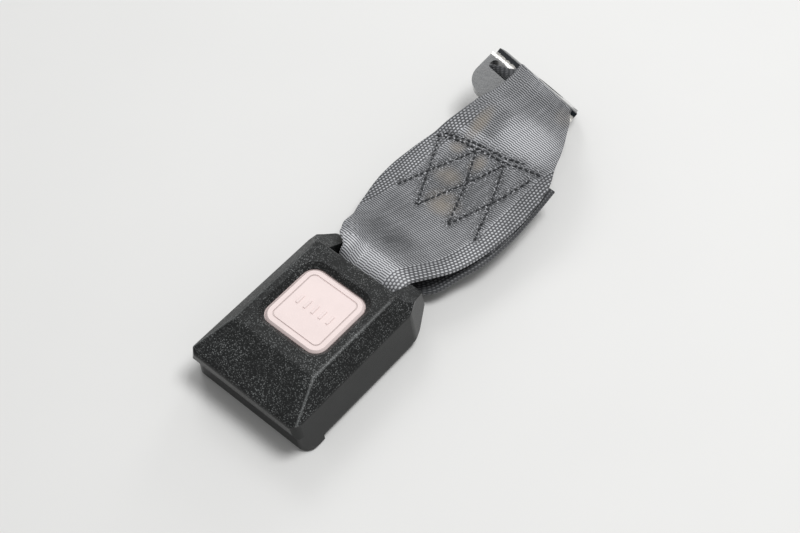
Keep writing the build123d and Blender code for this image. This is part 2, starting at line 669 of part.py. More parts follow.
def ejector():
    """Flat fork whose prongs pass each side of the hook and push the tongue out."""
    z0 = BASE_TOP + EJECTOR_LIFT
    notch = LATCH_HALF + HOOK_CLEARANCE
    plan = profile(mirrored([
        (notch, NOTCH_END, 0),
        (notch, EJECTOR_FRONT, EJECTOR_CORNER),
        (EJECTOR_HALF, EJECTOR_FRONT, EJECTOR_CORNER),
        (EJECTOR_HALF, EJECTOR_BACK, EJECTOR_CORNER)]))
    plate = extrude(Pos(0, 0, z0) * plan, amount=EJECTOR_THICK)
    for x in (-EJECTOR_SPRING_X, EJECTOR_SPRING_X):
        z = BASE_TOP + EJECTOR_SPRING_LIFT
        plate += peg((x, EJECTOR_BACK - 0.2, z), (x, EJECTOR_BACK + PEG_LENGTH, z))
        pad = LATCH_SPRING_R + SPRING_WIRE / 2
        plate += box(x - pad, x + pad, EJECTOR_BACK - 2, EJECTOR_BACK, z0, z + PEG_R)
    return plate


def spring_seat():
    """Moulded block staked to the frame; it carries four of the springs."""
    half = FRAME_IN - BEND_IN - SEAT_SIDE_GAP
    bar = box(-half, half, SEAT_Y, SEAT_Y + SEAT_DEPTH, BASE_TOP, BASE_TOP + SEAT_HEIGHT)
    block = fillet(bar.edges().filter_by(Axis.Z), BEND_IN)
    for side in (-1, 1):
        x0, x1 = sorted((side * half, side * (2 * BUTTON_SPRING_X - half)))
        block += box(x0, x1, SEAT_Y - SEAT_REACH, SEAT_Y + 0.5, BASE_TOP, BASE_TOP + SEAT_ARM)
        top = BASE_TOP + SEAT_ARM
        x = side * BUTTON_SPRING_X
        block += peg((x, BUTTON_SPRING_Y, top - 0.2), (x, BUTTON_SPRING_Y, top + PEG_LENGTH))
        x = side * EJECTOR_SPRING_X
        z = BASE_TOP + EJECTOR_SPRING_LIFT
        block += peg((x, SEAT_Y - PEG_LENGTH, z), (x, SEAT_Y + 0.2, z))
        x = side * STAKE_X
        block += rod(STAKE_R, (x, STAKE_Y, BASE_Z), (x, STAKE_Y, BASE_TOP + 0.2))
        block += rod(STAKE_HEAD_R, (x, STAKE_Y, BASE_Z - STAKE_HEAD), (x, STAKE_Y, BASE_Z))
    return block


def tongue_guide():
    """Plastic clip round the front of the frame that centres the tongue."""
    front = FRAME_FRONT + GUIDE_GAP
    back = CHEEK_FRONT - GUIDE_GAP
    top = BASE_TOP + MOUTH_HEIGHT - GUIDE_GAP
    bottom = BASE_Z - GUIDE_FLOOR
    guide = None
    for side in (-1, 1):
        x0, x1 = sorted((side * (GUIDE_NECK + GUIDE_GAP), side * FRAME_HALF))
        leg = box(x0, x1, front, back, bottom, top)
        x0, x1 = sorted((side * GUIDE_HALF, side * FRAME_HALF))
        lip = box(x0, x1, front, back, BASE_TOP, top)
        piece = leg + lip
        guide = piece if guide is None else guide + piece
    return guide + box(-FRAME_HALF, FRAME_HALF, front, back, bottom, BASE_Z - GUIDE_GAP)


# Springs

def ejector_spring(side):
    z = BASE_TOP + EJECTOR_SPRING_LIFT
    x = side * EJECTOR_SPRING_X
    return coil(EJECTOR_SPRING_R, SPRING_WIRE, EJECTOR_COILS, (x, EJECTOR_BACK, z), (x, SEAT_Y, z))


def button_spring(side):
    x = side * BUTTON_SPRING_X
    y = BUTTON_SPRING_Y
    return coil(BUTTON_SPRING_R, SPRING_WIRE, BUTTON_COILS, (x, y, BASE_TOP + SEAT_ARM), (x, y, FLANGE_Z))


def latch_spring():
    y = LATCH_SPRING_Y
    return coil(LATCH_SPRING_R, SPRING_WIRE, LATCH_COILS, (0, y, LATCH_TOP), (0, y, ROOF_Z))


# Anchor plate and strap

def tilted(along, up):
    """A point of the plate's pitched frame as (distance, height) in its own upright plane."""
    pitch = radians(PLATE_PITCH)
    return along * cos(pitch) - up * sin(pitch), PLATE_Z + along * sin(pitch) + up * cos(pitch)


def plate_place():
    return Pos(PLATE_X, PLATE_Y, 0) * Rot(0, 0, -PLATE_TURN)


def bent_section():
    """Side view of the bent plate as (distance, height)."""
    outer = BEND_RADIUS + PLATE
    end = radians(90 - PLATE_BEND)
    leg = BOLT_LEG_LENGTH

    def on_arc(radius, angle):
        return radius * cos(angle), -outer + radius * sin(angle)

    def leg_end(radius):
        x, y = on_arc(radius, end)
        return x + leg * sin(end), y - leg * cos(end)

    middle = radians(90 - PLATE_BEND / 2)
    corners = [(-LEG_LENGTH, 0), (0, 0), on_arc(outer, end), leg_end(outer),
               leg_end(BEND_RADIUS), on_arc(BEND_RADIUS, end), (0, -PLATE), (-LEG_LENGTH, -PLATE)]
    points = [tilted(*corner) for corner in corners]
    return make_face([
        Line(points[0], points[1]),
        ThreePointArc(points[1], tilted(*on_arc(outer, middle)), points[2]),
        Line(points[2], points[3]),
        Line(points[3], points[4]),
        Line(points[4], points[5]),
        ThreePointArc(points[5], tilted(*on_arc(BEND_RADIUS, middle)), points[6]),
        Line(points[6], points[7]),
        Line(points[7], points[0])])


def anchor_plate():
    body = side_prism(bent_section(), PLATE_HALF)
    pitch_frame = Pos(0, 0, PLATE_Z) * Rot(PLATE_PITCH, 0, 0)
    tall = 6 * PLATE
    slot_leg = profile(mirrored([
        (PLATE_HALF - LEG_TAPER, -LEG_LENGTH, LEG_CORNER),
        (PLATE_HALF, 0, 0),
        (PLATE_HALF, BEND_RADIUS, 0)]))
    slot_zone = extrude(pitch_frame * slot_leg, amount=tall / 2, both=True)
    leg_frame = pitch_frame * Pos(0, 0, -BEND_RADIUS - PLATE) * Rot(-PLATE_BEND, 0, 0)
    hole_v = BOLT_LEG_LENGTH - BOLT_LEG_R
    bolt_leg = profile(mirrored([
        (BOLT_LEG_R, BOLT_LEG_LENGTH, BOLT_LEG_R * 0.98),
        (BOLT_LEG_R, hole_v * 0.5, 8.0),
        (PLATE_HALF, -BEND_RADIUS, 0)]))
    bolt_zone = extrude(leg_frame * Pos(0, 0, BEND_RADIUS + PLATE) * bolt_leg, amount=tall, both=True)
    split = extrude(pitch_frame * Pos(0, -LEG_LENGTH * 2) * Rectangle(
        4 * PLATE_HALF, 4 * LEG_LENGTH), amount=tall, both=True)
    plate = (body & split & slot_zone) + ((body - split) & bolt_zone)
    slot_v = -LEG_LENGTH + LOOP_BAR + LOOP_SLOT / 2
    slot = extrude(pitch_frame * Pos(0, slot_v) * RectangleRounded(
        2 * LOOP_SLOT_HALF, LOOP_SLOT, SLOT_R), amount=tall, both=True)
    plate -= slot
    hole = leg_frame * Pos(0, hole_v, BEND_RADIUS + PLATE / 2) * Cylinder(BOLT_HOLE_R, tall)
    return plate_place() * (plate - hole)


def strap_plan():
    """Plan of the strap, gathered at both ends; each corner is (x, y, radius)."""
    def edge(side, corners):
        throat = side * WEB_THROAT_HALF
        start = [(throat, SLOT_FRONT, 0), (throat, EAR_END + WEB_THICK, 3 * WEB_SIDE_GAP)]
        return start + [(x, EAR_END + share * PLATE_AWAY, radius) for x, share, radius in corners]

    return profile(edge(1, STRAP_RIGHT) + edge(-1, STRAP_LEFT)[::-1])


def buckle_loop():
    """Webbing round the back bar of the frame, as the thick line between two outlines."""
    front = SLOT_BACK - WEB_CLEAR
    low = BASE_Z - WEB_CLEAR
    high = BASE_TOP + WEB_CLEAR
    turn_r = BAR_ROUND + WEB_TURN
    free = BAR_END + LEAD
    swell = (free + SEWN_FRONT) / 2
    top = SEWN_FRONT_Z + SEWN_THICK
    outer = profile([
        (front - WEB_THICK, low - WEB_THICK, turn_r + WEB_THICK),
        (free, low - WEB_THICK, SWELL_R),
        (SEWN_FRONT, SEWN_FRONT_Z, 0),
        (SEWN_FRONT, top, 0),
        (swell, top - SWELL_DROP, SWELL_R),
        (free, high + WEB_THICK, LEAD_R),
        (front - WEB_THICK, high + WEB_THICK, turn_r + WEB_THICK)])
    inner = profile([
        (front, low, turn_r),
        (free, low, SWELL_R),
        (SEWN_FRONT - POCKET, top - 1.5 * WEB_THICK, 0),
        (swell, top - SWELL_DROP - WEB_THICK, SWELL_R),
        (free, high, LEAD_R),
        (front, high, turn_r)])
    return side_prism(outer, 2 * HALF_WIDTH) - side_prism(inner, 2 * HALF_WIDTH)


def sewn_block():
    """Three layers sewn together."""
    front = SEWN_FRONT - 0.5
    return side_prism(profile([
        (front, SEWN_FRONT_Z, 0),
        (SEWN_BACK, SEWN_BACK_Z, 0),
        (SEWN_BACK, SEWN_BACK_Z + SEWN_THICK, 0),
        (front, SEWN_FRONT_Z + SEWN_THICK, 0)]), 2 * HALF_WIDTH)


def anchor_loop():
    """Webbing round the end bar of the anchor plate, square to the plate."""
    turn_v = -LEG_LENGTH + LOOP_BAR - LOOP_SINK
    mid = -PLATE / 2
    free = -LEG_LENGTH - LOOP_LEAD
    start = (SEWN_BACK - SEWN_LAP - PLATE_Y) / cos(radians(PLATE_TURN))

    def ring(reach, tip, low, high):
        corners = [(*tilted(turn_v + reach, mid - reach), reach * 0.98),
                   (*tilted(turn_v + reach, mid + reach), reach * 0.98),
                   (*tilted(free, mid + reach), LOOP_LEAD_R),
                   (tip, high, 0)]
        if high > low:
            corners.append((tip, low, 0))
        corners.append((*tilted(free, mid - reach), LOOP_LEAD_R))
        return side_prism(profile(corners), 3 * HALF_WIDTH)

    rise = SEWN_LAP * (SEWN_BACK_Z - SEWN_FRONT_Z) / (SEWN_BACK - SEWN_FRONT)
    outer = ring(LOOP_INNER + WEB_THICK, start, SEWN_BACK_Z - rise, SEWN_BACK_Z - rise + SEWN_THICK)
    middle = SEWN_BACK_Z + SEWN_THICK / 2
    inner = ring(LOOP_INNER, start + SEWN_LAP + LOOP_POCKET, middle, middle)
    wide = 3 * HALF_WIDTH
    under = mid + LOOP_INNER
    beside = box(LOOP_RIGHT, wide, turn_v - 0.5, 1, -PLATE_Z, under)
    beside += box(-wide, LOOP_LEFT, turn_v - 0.5, 1, -PLATE_Z, under)
    pitched = Pos(0, 0, PLATE_Z) * Rot(PLATE_PITCH, 0, 0)
    return plate_place() * (outer - inner - pitched * beside)


def webbing():
    strap = buckle_loop() + sewn_block() + anchor_loop()
    return strap & extrude(strap_plan(), amount=2 * PLATE_Z)


def parts():
    return {
        "upper_cover": upper_cover(),
        "lower_cover": lower_cover(),
        "cover_screws": cover_screws(),
        "frame": frame(),
        "tongue_guide": tongue_guide(),
        "spring_seat": spring_seat(),
        "latch_pin": latch_pin(),
        "pin_clip": pin_clip(),
        "latch": latch(),
        "latch_spring": latch_spring(),
        "button": button(),
        "button_spring_left": button_spring(-1),
        "button_spring_right": button_spring(1),
        "ejector": ejector(),
        "ejector_spring_left": ejector_spring(-1),
        "ejector_spring_right": ejector_spring(1),
        "webbing": webbing(),
        "anchor_plate": anchor_plate(),
    }


def origin_shift(shapes):
    """Move that puts the bottom centre of the whole part's box at the origin."""
    whole = Compound(list(shapes)).bounding_box()
    return Vector(-(whole.min.X + whole.max.X) / 2, -(whole.min.Y + whole.max.Y) / 2, 0)


def main():
    os.makedirs("parts", exist_ok=True)
    shapes = parts()
    shift = origin_shift(shapes.values())
    for name, shape in shapes.items():
        export_step(Pos(shift) * shape, "parts/" + name + ".step")
    print("moved by", tuple(round(v, 4) for v in shift))


if __name__ == "__main__":
    main()
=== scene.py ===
import json
import math

import bmesh
import bpy
from bpy.props import FloatProperty, FloatVectorProperty, IntProperty, PointerProperty
from mathutils import Matrix, Vector
from mathutils.bvhtree import BVHTree

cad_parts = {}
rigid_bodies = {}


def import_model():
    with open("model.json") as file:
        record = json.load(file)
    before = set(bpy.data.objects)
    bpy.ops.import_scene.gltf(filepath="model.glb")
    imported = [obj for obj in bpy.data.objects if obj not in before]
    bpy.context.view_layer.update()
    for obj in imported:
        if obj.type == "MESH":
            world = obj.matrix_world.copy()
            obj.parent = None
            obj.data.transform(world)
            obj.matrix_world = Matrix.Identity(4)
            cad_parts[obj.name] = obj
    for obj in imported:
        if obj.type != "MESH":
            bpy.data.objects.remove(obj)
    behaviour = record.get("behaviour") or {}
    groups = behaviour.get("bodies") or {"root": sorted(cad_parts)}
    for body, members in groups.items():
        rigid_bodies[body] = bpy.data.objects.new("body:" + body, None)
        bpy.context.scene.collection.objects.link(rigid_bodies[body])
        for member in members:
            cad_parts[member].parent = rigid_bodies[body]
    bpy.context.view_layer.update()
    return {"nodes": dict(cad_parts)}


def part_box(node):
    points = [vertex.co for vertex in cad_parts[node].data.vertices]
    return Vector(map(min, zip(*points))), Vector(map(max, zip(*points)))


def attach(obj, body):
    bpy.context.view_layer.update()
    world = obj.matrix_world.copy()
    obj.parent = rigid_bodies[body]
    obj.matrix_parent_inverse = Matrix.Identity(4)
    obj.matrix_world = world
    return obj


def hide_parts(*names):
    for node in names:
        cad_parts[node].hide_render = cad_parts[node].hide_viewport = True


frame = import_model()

bl_info = {
    "name": "Seat belt buckle",
    "version": (1, 0, 0),
    "blender": (4, 5, 0),
    "location": "3D View > Sidebar > Buckle",
    "description": "Dresses the seat belt buckle, its strap and its anchor plate",
    "category": "Object",
}

# The box of the CAD model, before anything is added
MM = 0.001

# Places are given in millimetres in the buckle's own frame: X across, Y back from the nose, Z up.
# The datum is where that frame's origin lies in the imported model.
COVER_LOW, COVER_HIGH = (Vector(corner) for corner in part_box("upper_cover"))
DATUM = Vector(((COVER_LOW.x + COVER_HIGH.x) / 2, COVER_LOW.y, 0))


def place(x, y, z):
    """A point of the buckle's own frame, in metres."""
    return DATUM + Vector((x, y, z)) * MM


# Anchor plate: the middle of its bend, and how far it is turned and pitched
PLATE_AT = (-5.5, 151.6, 21.5)
PLATE_TURN = math.radians(11)
PLATE_PITCH = math.radians(8)


def plate_direction(along, up, across):
    """A step in the plate's pitched frame, in the buckle's frame."""
    away = along * math.cos(PLATE_PITCH) - up * math.sin(PLATE_PITCH)
    return (across * math.cos(PLATE_TURN) + away * math.sin(PLATE_TURN),
            away * math.cos(PLATE_TURN) - across * math.sin(PLATE_TURN),
            along * math.sin(PLATE_PITCH) + up * math.cos(PLATE_PITCH))


# Sizes and colours that a user would change

class StageSettings(bpy.types.PropertyGroup):
    """Camera, floor and lights."""
    azimuth: FloatProperty(
        name="Azimuth", description="Turn of the camera from straight in front of the nose",
        default=math.radians(40.67), subtype="ANGLE", unit="ROTATION")
    elevation: FloatProperty(
        name="Elevation", description="Height of the camera above the table",
        default=math.radians(55.08), subtype="ANGLE", unit="ROTATION")
    roll: FloatProperty(
        name="Roll", description="Tilt of the camera about its own axis",
        default=math.radians(-0.54), subtype="ANGLE", unit="ROTATION")
    lens: FloatProperty(
        name="Lens", description="Focal length on a 36 mm wide sensor, in millimetres", default=61.56)
    stand: FloatVectorProperty(
        name="Stand", description="Place of the camera in the buckle's frame",
        default=(170.8, -124.5, 375.7), size=3)
    floor_colour: FloatVectorProperty(
        name="Floor", description="Colour of the pale floor", default=(0.80, 0.80, 0.79),
        subtype="COLOR", size=3)
    overhead_power: FloatProperty(
        name="Overhead light", description="Power of the softbox above", default=6.0, unit="POWER")
    fill_power: FloatProperty(
        name="Fill light", description="Power of the softbox at the side", default=1.4, unit="POWER")
    rear_power: FloatProperty(
        name="Rear light", description="Power of the softbox behind", default=1.2, unit="POWER")
    sky_strength: FloatProperty(
        name="Sky", description="Strength of the even light from all round", default=0.36)


class PlasticSettings(bpy.types.PropertyGroup):
    """Moulded plastic of the covers, the button and the inner parts."""
    cover_colour: FloatVectorProperty(
        name="Cover", description="Colour of the black grained covers", default=(0.0100, 0.0108, 0.0108),
        subtype="COLOR", size=3)
    # Colour of the painted glints of the grain, also used for the painted highlight on the polished edges
    painted_glint_colour: FloatVectorProperty(
        name="Specks", description="Colour of the fine pale specks", default=(0.26, 0.27, 0.27),
        subtype="COLOR", size=3)
    grain: FloatProperty(
        name="Grain", description="Width of one grain of the spark eroded texture",
        default=0.44 * MM, unit="LENGTH")
    button_colour: FloatVectorProperty(
        name="Button", description="Colour of the pale button", default=(0.86, 0.73, 0.71),
        subtype="COLOR", size=3)
    inner_colour: FloatVectorProperty(
        name="Inner parts", description="Colour of the natural plastic inside", default=(0.52, 0.50, 0.45),
        subtype="COLOR", size=3)


class SteelSettings(bpy.types.PropertyGroup):
    """Plated, hardened and painted steel."""
    plated_colour: FloatVectorProperty(
        name="Plated", description="Colour of the zinc plated frame", default=(0.56, 0.55, 0.52),
        subtype="COLOR", size=3)
    hardened_colour: FloatVectorProperty(
        name="Hardened", description="Colour of the latch and its pin", default=(0.36, 0.34, 0.31),
        subtype="COLOR", size=3)
    wire_colour: FloatVectorProperty(
        name="Wire", description="Colour of the spring wire", default=(0.50, 0.50, 0.50),
        subtype="COLOR", size=3)
    paint_colour: FloatVectorProperty(
        name="Paint", description="Colour of the black paint on the anchor plate",
        default=(0.010, 0.013, 0.016), subtype="COLOR", size=3)


class StrapSettings(bpy.types.PropertyGroup):
    """Woven strap and its sewing."""
    width: FloatProperty(
        name="Width", description="Width of the webbing laid flat", default=48 * MM, unit="LENGTH")
    thickness: FloatProperty(
        name="Thickness", description="Thickness of one layer", default=1.1 * MM, unit="LENGTH")
    rib_pitch: FloatProperty(
        name="Rib pitch", description="Distance from one weft rib to the next", default=0.78 * MM,
        unit="LENGTH")
    rib_height: FloatProperty(
        name="Rib height", description="Height of a weft rib", default=0.09 * MM, unit="LENGTH")
    border: FloatProperty(
        name="Border", description="Width of the twill band along each edge", default=6.8 * MM,
        unit="LENGTH")
    stitch: FloatProperty(
        name="Stitch", description="Length of one stitch", default=2.1 * MM, unit="LENGTH")
    thread: FloatProperty(
        name="Thread", description="Thickness of the sewing thread", default=0.85 * MM, unit="LENGTH")
    # Shaded and lit copies of one yarn: painted shade between the ribs and painted highlight on top of them
    # and on the twill knots
    shaded_yarn: FloatVectorProperty(
        name="Dark yarn", description="Colour between the ribs", default=(0.022, 0.024, 0.027),
        subtype="COLOR", size=3)
    lit_yarn: FloatVectorProperty(
        name="Pale yarn", description="Colour on top of the ribs", default=(0.66, 0.67, 0.70),
        subtype="COLOR", size=3)
    dirt: FloatVectorProperty(
        name="Dirt", description="Colour of the rubbed in dirt", default=(0.40, 0.35, 0.29),
        subtype="COLOR", size=3)
    thread_colour: FloatVectorProperty(
        name="Thread colour", description="Colour of the sewing thread", default=(0.010, 0.011, 0.013),
        subtype="COLOR", size=3)
    seed: IntProperty(name="Seed", description="Seed of all that is random on the strap", default=7)


SETTINGS = {
    "buckle_stage": StageSettings,
    "buckle_plastic": PlasticSettings,
    "buckle_steel": SteelSettings,
    "buckle_strap": StrapSettings,
}


# Node trees written as Python expressions

class Signal:
    """The output of a node, on which Python's operators add Math nodes."""

    def __init__(self, tree, socket):
        self.tree = tree
        self.socket = socket

    def maths(self, operation, *others):
        node = self.tree.nodes.new("ShaderNodeMath")
        node.operation = operation
        for port, value in zip(node.inputs, (self, *others)):
            plug(self.tree, port, value)
        return Signal(self.tree, node.outputs[0])

    def after(self, operation, first):
        """The operation with this signal as its second value."""
        node = self.tree.nodes.new("ShaderNodeMath")
        node.operation = operation
        plug(self.tree, node.inputs[0], first)
        plug(self.tree, node.inputs[1], self)
        return Signal(self.tree, node.outputs[0])

    def __add__(self, other):
        return self.maths("ADD", other)

    def __radd__(self, other):
        return self.maths("ADD", other)

    def __sub__(self, other):
        return self.maths("SUBTRACT", other)

    def __rsub__(self, other):
        return self.after("SUBTRACT", other)

    def __mul__(self, other):
        return self.maths("MULTIPLY", other)

    def __rmul__(self, other):
        return self.maths("MULTIPLY", other)

    def __truediv__(self, other):
        return self.maths("DIVIDE", other)

    def __pow__(self, other):
        return self.maths("POWER", other)

    def __abs__(self):
        return self.maths("ABSOLUTE")

    def __gt__(self, other):
        return self.maths("GREATER_THAN", other)

    def sine(self):
        return self.maths("SINE")

    def floor(self):
        return self.maths("FLOOR")

    def fraction(self):
        return self.maths("FRACT")

    def root(self):
        return self.maths("SQRT")

    def least(self, other):
        return self.maths("MINIMUM", other)

    def most(self, other):
        return self.maths("MAXIMUM", other)

    def held(self):
        """The signal kept between 0 and 1."""
        return self.maths("MINIMUM", 1.0).maths("MAXIMUM", 0.0)

    def between(self, low, high):
        """0 below low, 1 above high, and straight between them."""
        return ((self - low) / (high - low)).held()


def plug(tree, port, value):
    """Links a signal to a port, or sets the port's own value."""
    if isinstance(value, Signal):
        tree.links.new(value.socket, port)
    elif port.type == "RGBA" and len(value) == 3:
        port.default_value = (*value, 1.0)
    else:
        port.default_value = value


class Tree:
    """A node tree with one way to add any node."""

    def __init__(self, tree):
        self.tree = tree

    def node(self, kind, settings=(), sockets=(), output=0):
        """Adds a node. Settings are set first, then the sockets by name or number."""
        node = self.tree.nodes.new(kind)
        for name, value in dict(settings).items():
            setattr(node, name, value)
        for name, value in dict(sockets).items():
            plug(self.tree, node.inputs[name], value)
        return Signal(self.tree, node.outputs[output])

    def split(self, vector):
        """The three parts of a vector."""
        parts = self.node("ShaderNodeSeparateXYZ", sockets={0: vector})
        outputs = parts.socket.node.outputs
        return tuple(Signal(self.tree, outputs[i]) for i in range(3))

    def join(self, x, y, z):
        """A vector of three parts."""
        return self.node("ShaderNodeCombineXYZ", sockets={0: x, 1: y, 2: z})


class Finish(Tree):
    """A material about one principled shader."""

    def __init__(self, name, **constants):
        self.material = bpy.data.materials.new(name)
        self.material.use_nodes = True
        super().__init__(self.material.node_tree)
        self.shader = next(n for n in self.tree.nodes if n.type == "BSDF_PRINCIPLED")
        for socket, value in constants.items():
            plug(self.tree, self.shader.inputs[socket.replace("_", " ")], value)

    def feed(self, socket, value):
        plug(self.tree, self.shader.inputs[socket], value)

    def object_place(self):
        """Place on the piece, in metres."""
        return self.node("ShaderNodeTexCoord", output=3)

    def scaled(self, vector, x, y, z):
        """The vector with each part multiplied, so that a noise is drawn out along the small ones."""
        return self.node("ShaderNodeVectorMath", {"operation": "MULTIPLY"}, {0: vector, 1: (x, y, z)})

    def noise(self, vector, size, detail=3.0, rough=0.55):
        """Cloudy noise whose features are about one size across."""
        return self.node("ShaderNodeTexNoise", {"noise_dimensions": "3D"},
                         {"Vector": vector, "Scale": 1.0 / size, "Detail": detail, "Roughness": rough})

    def cells(self, vector, size, output=0):
        """Grains about one size across: the distance to their middles, or a random colour for each."""
        return self.node("ShaderNodeTexVoronoi", {"feature": "F1"},
                         {"Vector": vector, "Scale": 1.0 / size}, output)

    def blend(self, factor, first, second):
        """The first colour where the factor is 0, and the second where it is 1."""
        return self.node("ShaderNodeMix", {"data_type": "RGBA"}, {0: factor, 6: first, 7: second}, 2)

    def bump(self, height, distance):
        self.feed("Normal", self.node("ShaderNodeBump", sockets={"Height": height, "Distance": distance}))


# Materials

# Edges of the upper cover that hands have polished, glossier and painted paler as a painted highlight, as
# (x, y, z) to (x, y, z), the same on both sides
POLISHED_HIGHLIT_EDGES = (((16.6, 14.8, 22.7), (16.6, 50.0, 22.7)), ((16.6, 14.8, 22.7), (22.0, 0.4, 16.9)))
POLISHED_HIGHLIT_REACH = 0.60


def edge_distance(parts, start, end):
    """Distance from a place, given as its three parts, to a straight edge."""
    line = end - start
    offsets = [part - first for part, first in zip(parts, start)]
    share = sum(offset * reach for offset, reach in zip(offsets, line)) / line.length_squared
    share = share.held()
    squares = [(offset - share * reach) ** 2.0 for offset, reach in zip(offsets, line)]
    return (squares[0] + squares[1] + squares[2]).root()


def polished_highlit_edges(parts):
    """1 on the polished edges of the cover, where the painted highlight lies, falling to 0 beside them."""
    x, y, z = parts
    mirrored = (abs(x - DATUM.x) + DATUM.x, y, z)
    near = [edge_distance(mirrored, place(*start), place(*end)) for start, end in POLISHED_HIGHLIT_EDGES]
    return 1.0 - (near[0].least(near[1]) / (POLISHED_HIGHLIT_REACH * MM)).held()


def cover_plastic(settings):
    """Black plastic with a spark eroded grain, smoother on upright walls, with painted glints of the grain
    on upward faces and a painted highlight along the polished hip edges.
    """
    finish = Finish("cover_plastic", Specular_IOR_Level=0.24)
    colour = tuple(settings.cover_colour)
    wall_rough, top_rough = 0.24, 0.44
    where = finish.object_place()
    up = finish.split(finish.node("ShaderNodeNewGeometry", output=1))[2]
    topside = up.between(0.15, 0.55)
    grain = finish.cells(where, settings.grain)
    glint = finish.split(finish.cells(where, settings.grain, output=1))[0]
    clouds = finish.noise(where, 9 * MM, 4.0)
    fine = finish.noise(where, settings.grain * 0.5, 2.0)
    edges = polished_highlit_edges(finish.split(where)) * fine.between(0.3, 0.6)
    lit = 0.25 + 0.75 * clouds.between(0.30, 0.62)
    # Painted glints: pale grain cells on upward faces, stronger in clouds, standing in for the glints of
    # the grain
    painted_glints = (0.48 - grain).between(0.0, 0.22) * glint.between(0.10, 1.1) * topside * lit
    smear = finish.noise(finish.scaled(where, 1.0, 0.35, 1.0), 14 * MM, 3.0)
    base = finish.blend(clouds.between(0.35, 0.75) * 0.5, colour, tuple(1.9 * c for c in colour))
    # Painted highlight along the polished edges and the painted glints, both in the glint colour
    base = finish.blend((painted_glints * 0.95 + edges * 0.50).held(), base, tuple(settings.painted_glint_colour))
    finish.feed("Base Color", base)
    rough = wall_rough + (top_rough - wall_rough) * topside + (smear - 0.5) * 0.16 - edges * 0.12
    finish.feed("Roughness", rough.held())
    finish.bump(grain * (0.15 + 0.85 * topside) + fine * 0.35 * topside, 0.035 * MM)
    return finish.material


# Half size of the flat face of the button and of the ring moulded in it
BUTTON_FACE = 9.5
BUTTON_RING = 9.8
# Painted shade: pink where the button's sides go down into the window, grey in its moulded groove
SHADED_PINK = (0.60, 0.44, 0.42)
SHADED_GROOVE = (0.42, 0.37, 0.36)


def button_plastic(settings):
    """Pale satin plastic, with painted shade down its sides and in its moulded grooves."""
    finish = Finish("button_plastic", Specular_IOR_Level=0.5, Coat_Weight=0.12, Coat_Roughness=0.22)
    where = finish.object_place()
    clouds = finish.noise(where, 6 * MM, 4.0)
    fine = finish.noise(where, 0.35 * MM, 2.0)
    scuff = finish.noise(finish.scaled(where, 0.25, 1.0, 1.0), 1.1 * MM, 3.0)
    low, high = (Vector(c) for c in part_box("button"))
    centre = (low + high) / 2
    x, y, z = finish.split(where)
    # Painted shade, darker towards the bottom of the button's sides
    side_shade = (high.z - 0.5 * MM - z).between(0.0, 1.6 * MM)
    groove = (high.z - 0.40 * MM - z).between(0.0, 0.08 * MM)
    worn = tuple(0.80 * c for c in settings.button_colour)
    base = finish.blend(clouds.between(0.45, 0.8) * 0.25, settings.button_colour, worn)
    base = finish.blend(side_shade * 0.35, base, SHADED_PINK)
    reach = abs(x - centre.x).most(abs(y - centre.y))
    inner = reach.between((BUTTON_RING + 0.4) * MM, BUTTON_RING * MM)
    base = finish.blend(groove * inner * 0.55, base, SHADED_GROOVE)
    finish.feed("Base Color", base)
    edge = reach.between(BUTTON_FACE * MM, (BUTTON_FACE + 2.5) * MM)
    finish.feed("Roughness", (0.36 + scuff * 0.14 - edge * 0.08).held())
    finish.bump(fine * 0.5 + scuff * 0.5, 0.012 * MM)
    return finish.material


def inner_plastic(settings):
    """Natural plastic with faint flow lines and moulding haze."""
    finish = Finish("inner_plastic", Specular_IOR_Level=0.5)
    where = finish.object_place()
    flow = finish.noise(finish.scaled(where, 1.0, 0.15, 1.0), 2.2 * MM, 3.0)
    fine = finish.noise(where, 0.3 * MM, 2.0)
    dark = tuple(0.72 * c for c in settings.inner_colour)
    finish.feed("Base Color", finish.blend(flow.between(0.4, 0.75), settings.inner_colour, dark))
    finish.feed("Roughness", (0.42 + flow * 0.2).held())
    finish.bump(fine, 0.010 * MM)
    return finish.material


def steel(name, colour, along, scratch, bright, dull):
    """Bare or plated steel, brushed along one axis, with dull patches.

    Along is the number of that axis, scratch the width of a scratch, and bright and dull
    are the roughness of the clean metal and of the patches."""
    finish = Finish(name, Metallic=1.0)
    where = finish.object_place()
    stretch = [1.0, 1.0, 1.0]
    stretch[along] = 0.06
    brushed = finish.noise(finish.scaled(where, *stretch), scratch, 3.0)
    spots = finish.noise(where, 4 * MM, 4.0)
    darker = tuple(0.55 * c for c in colour)
    finish.feed("Base Color", finish.blend(spots.between(0.45, 0.8) * 0.6, colour, darker))
    finish.feed("Roughness", (bright + (dull - bright) * spots + (brushed - 0.5) * 0.14).held())
    finish.bump(brushed, 0.008 * MM)
    return finish.material


# Where the paint is worn off along the plate's bend: its middle and half width
WORN_MIDDLE = 0.3
WORN_REACH = 2.4
BARE_STEEL = (0.80, 0.79, 0.76)
HAZED_PAINT = (0.022, 0.028, 0.032)


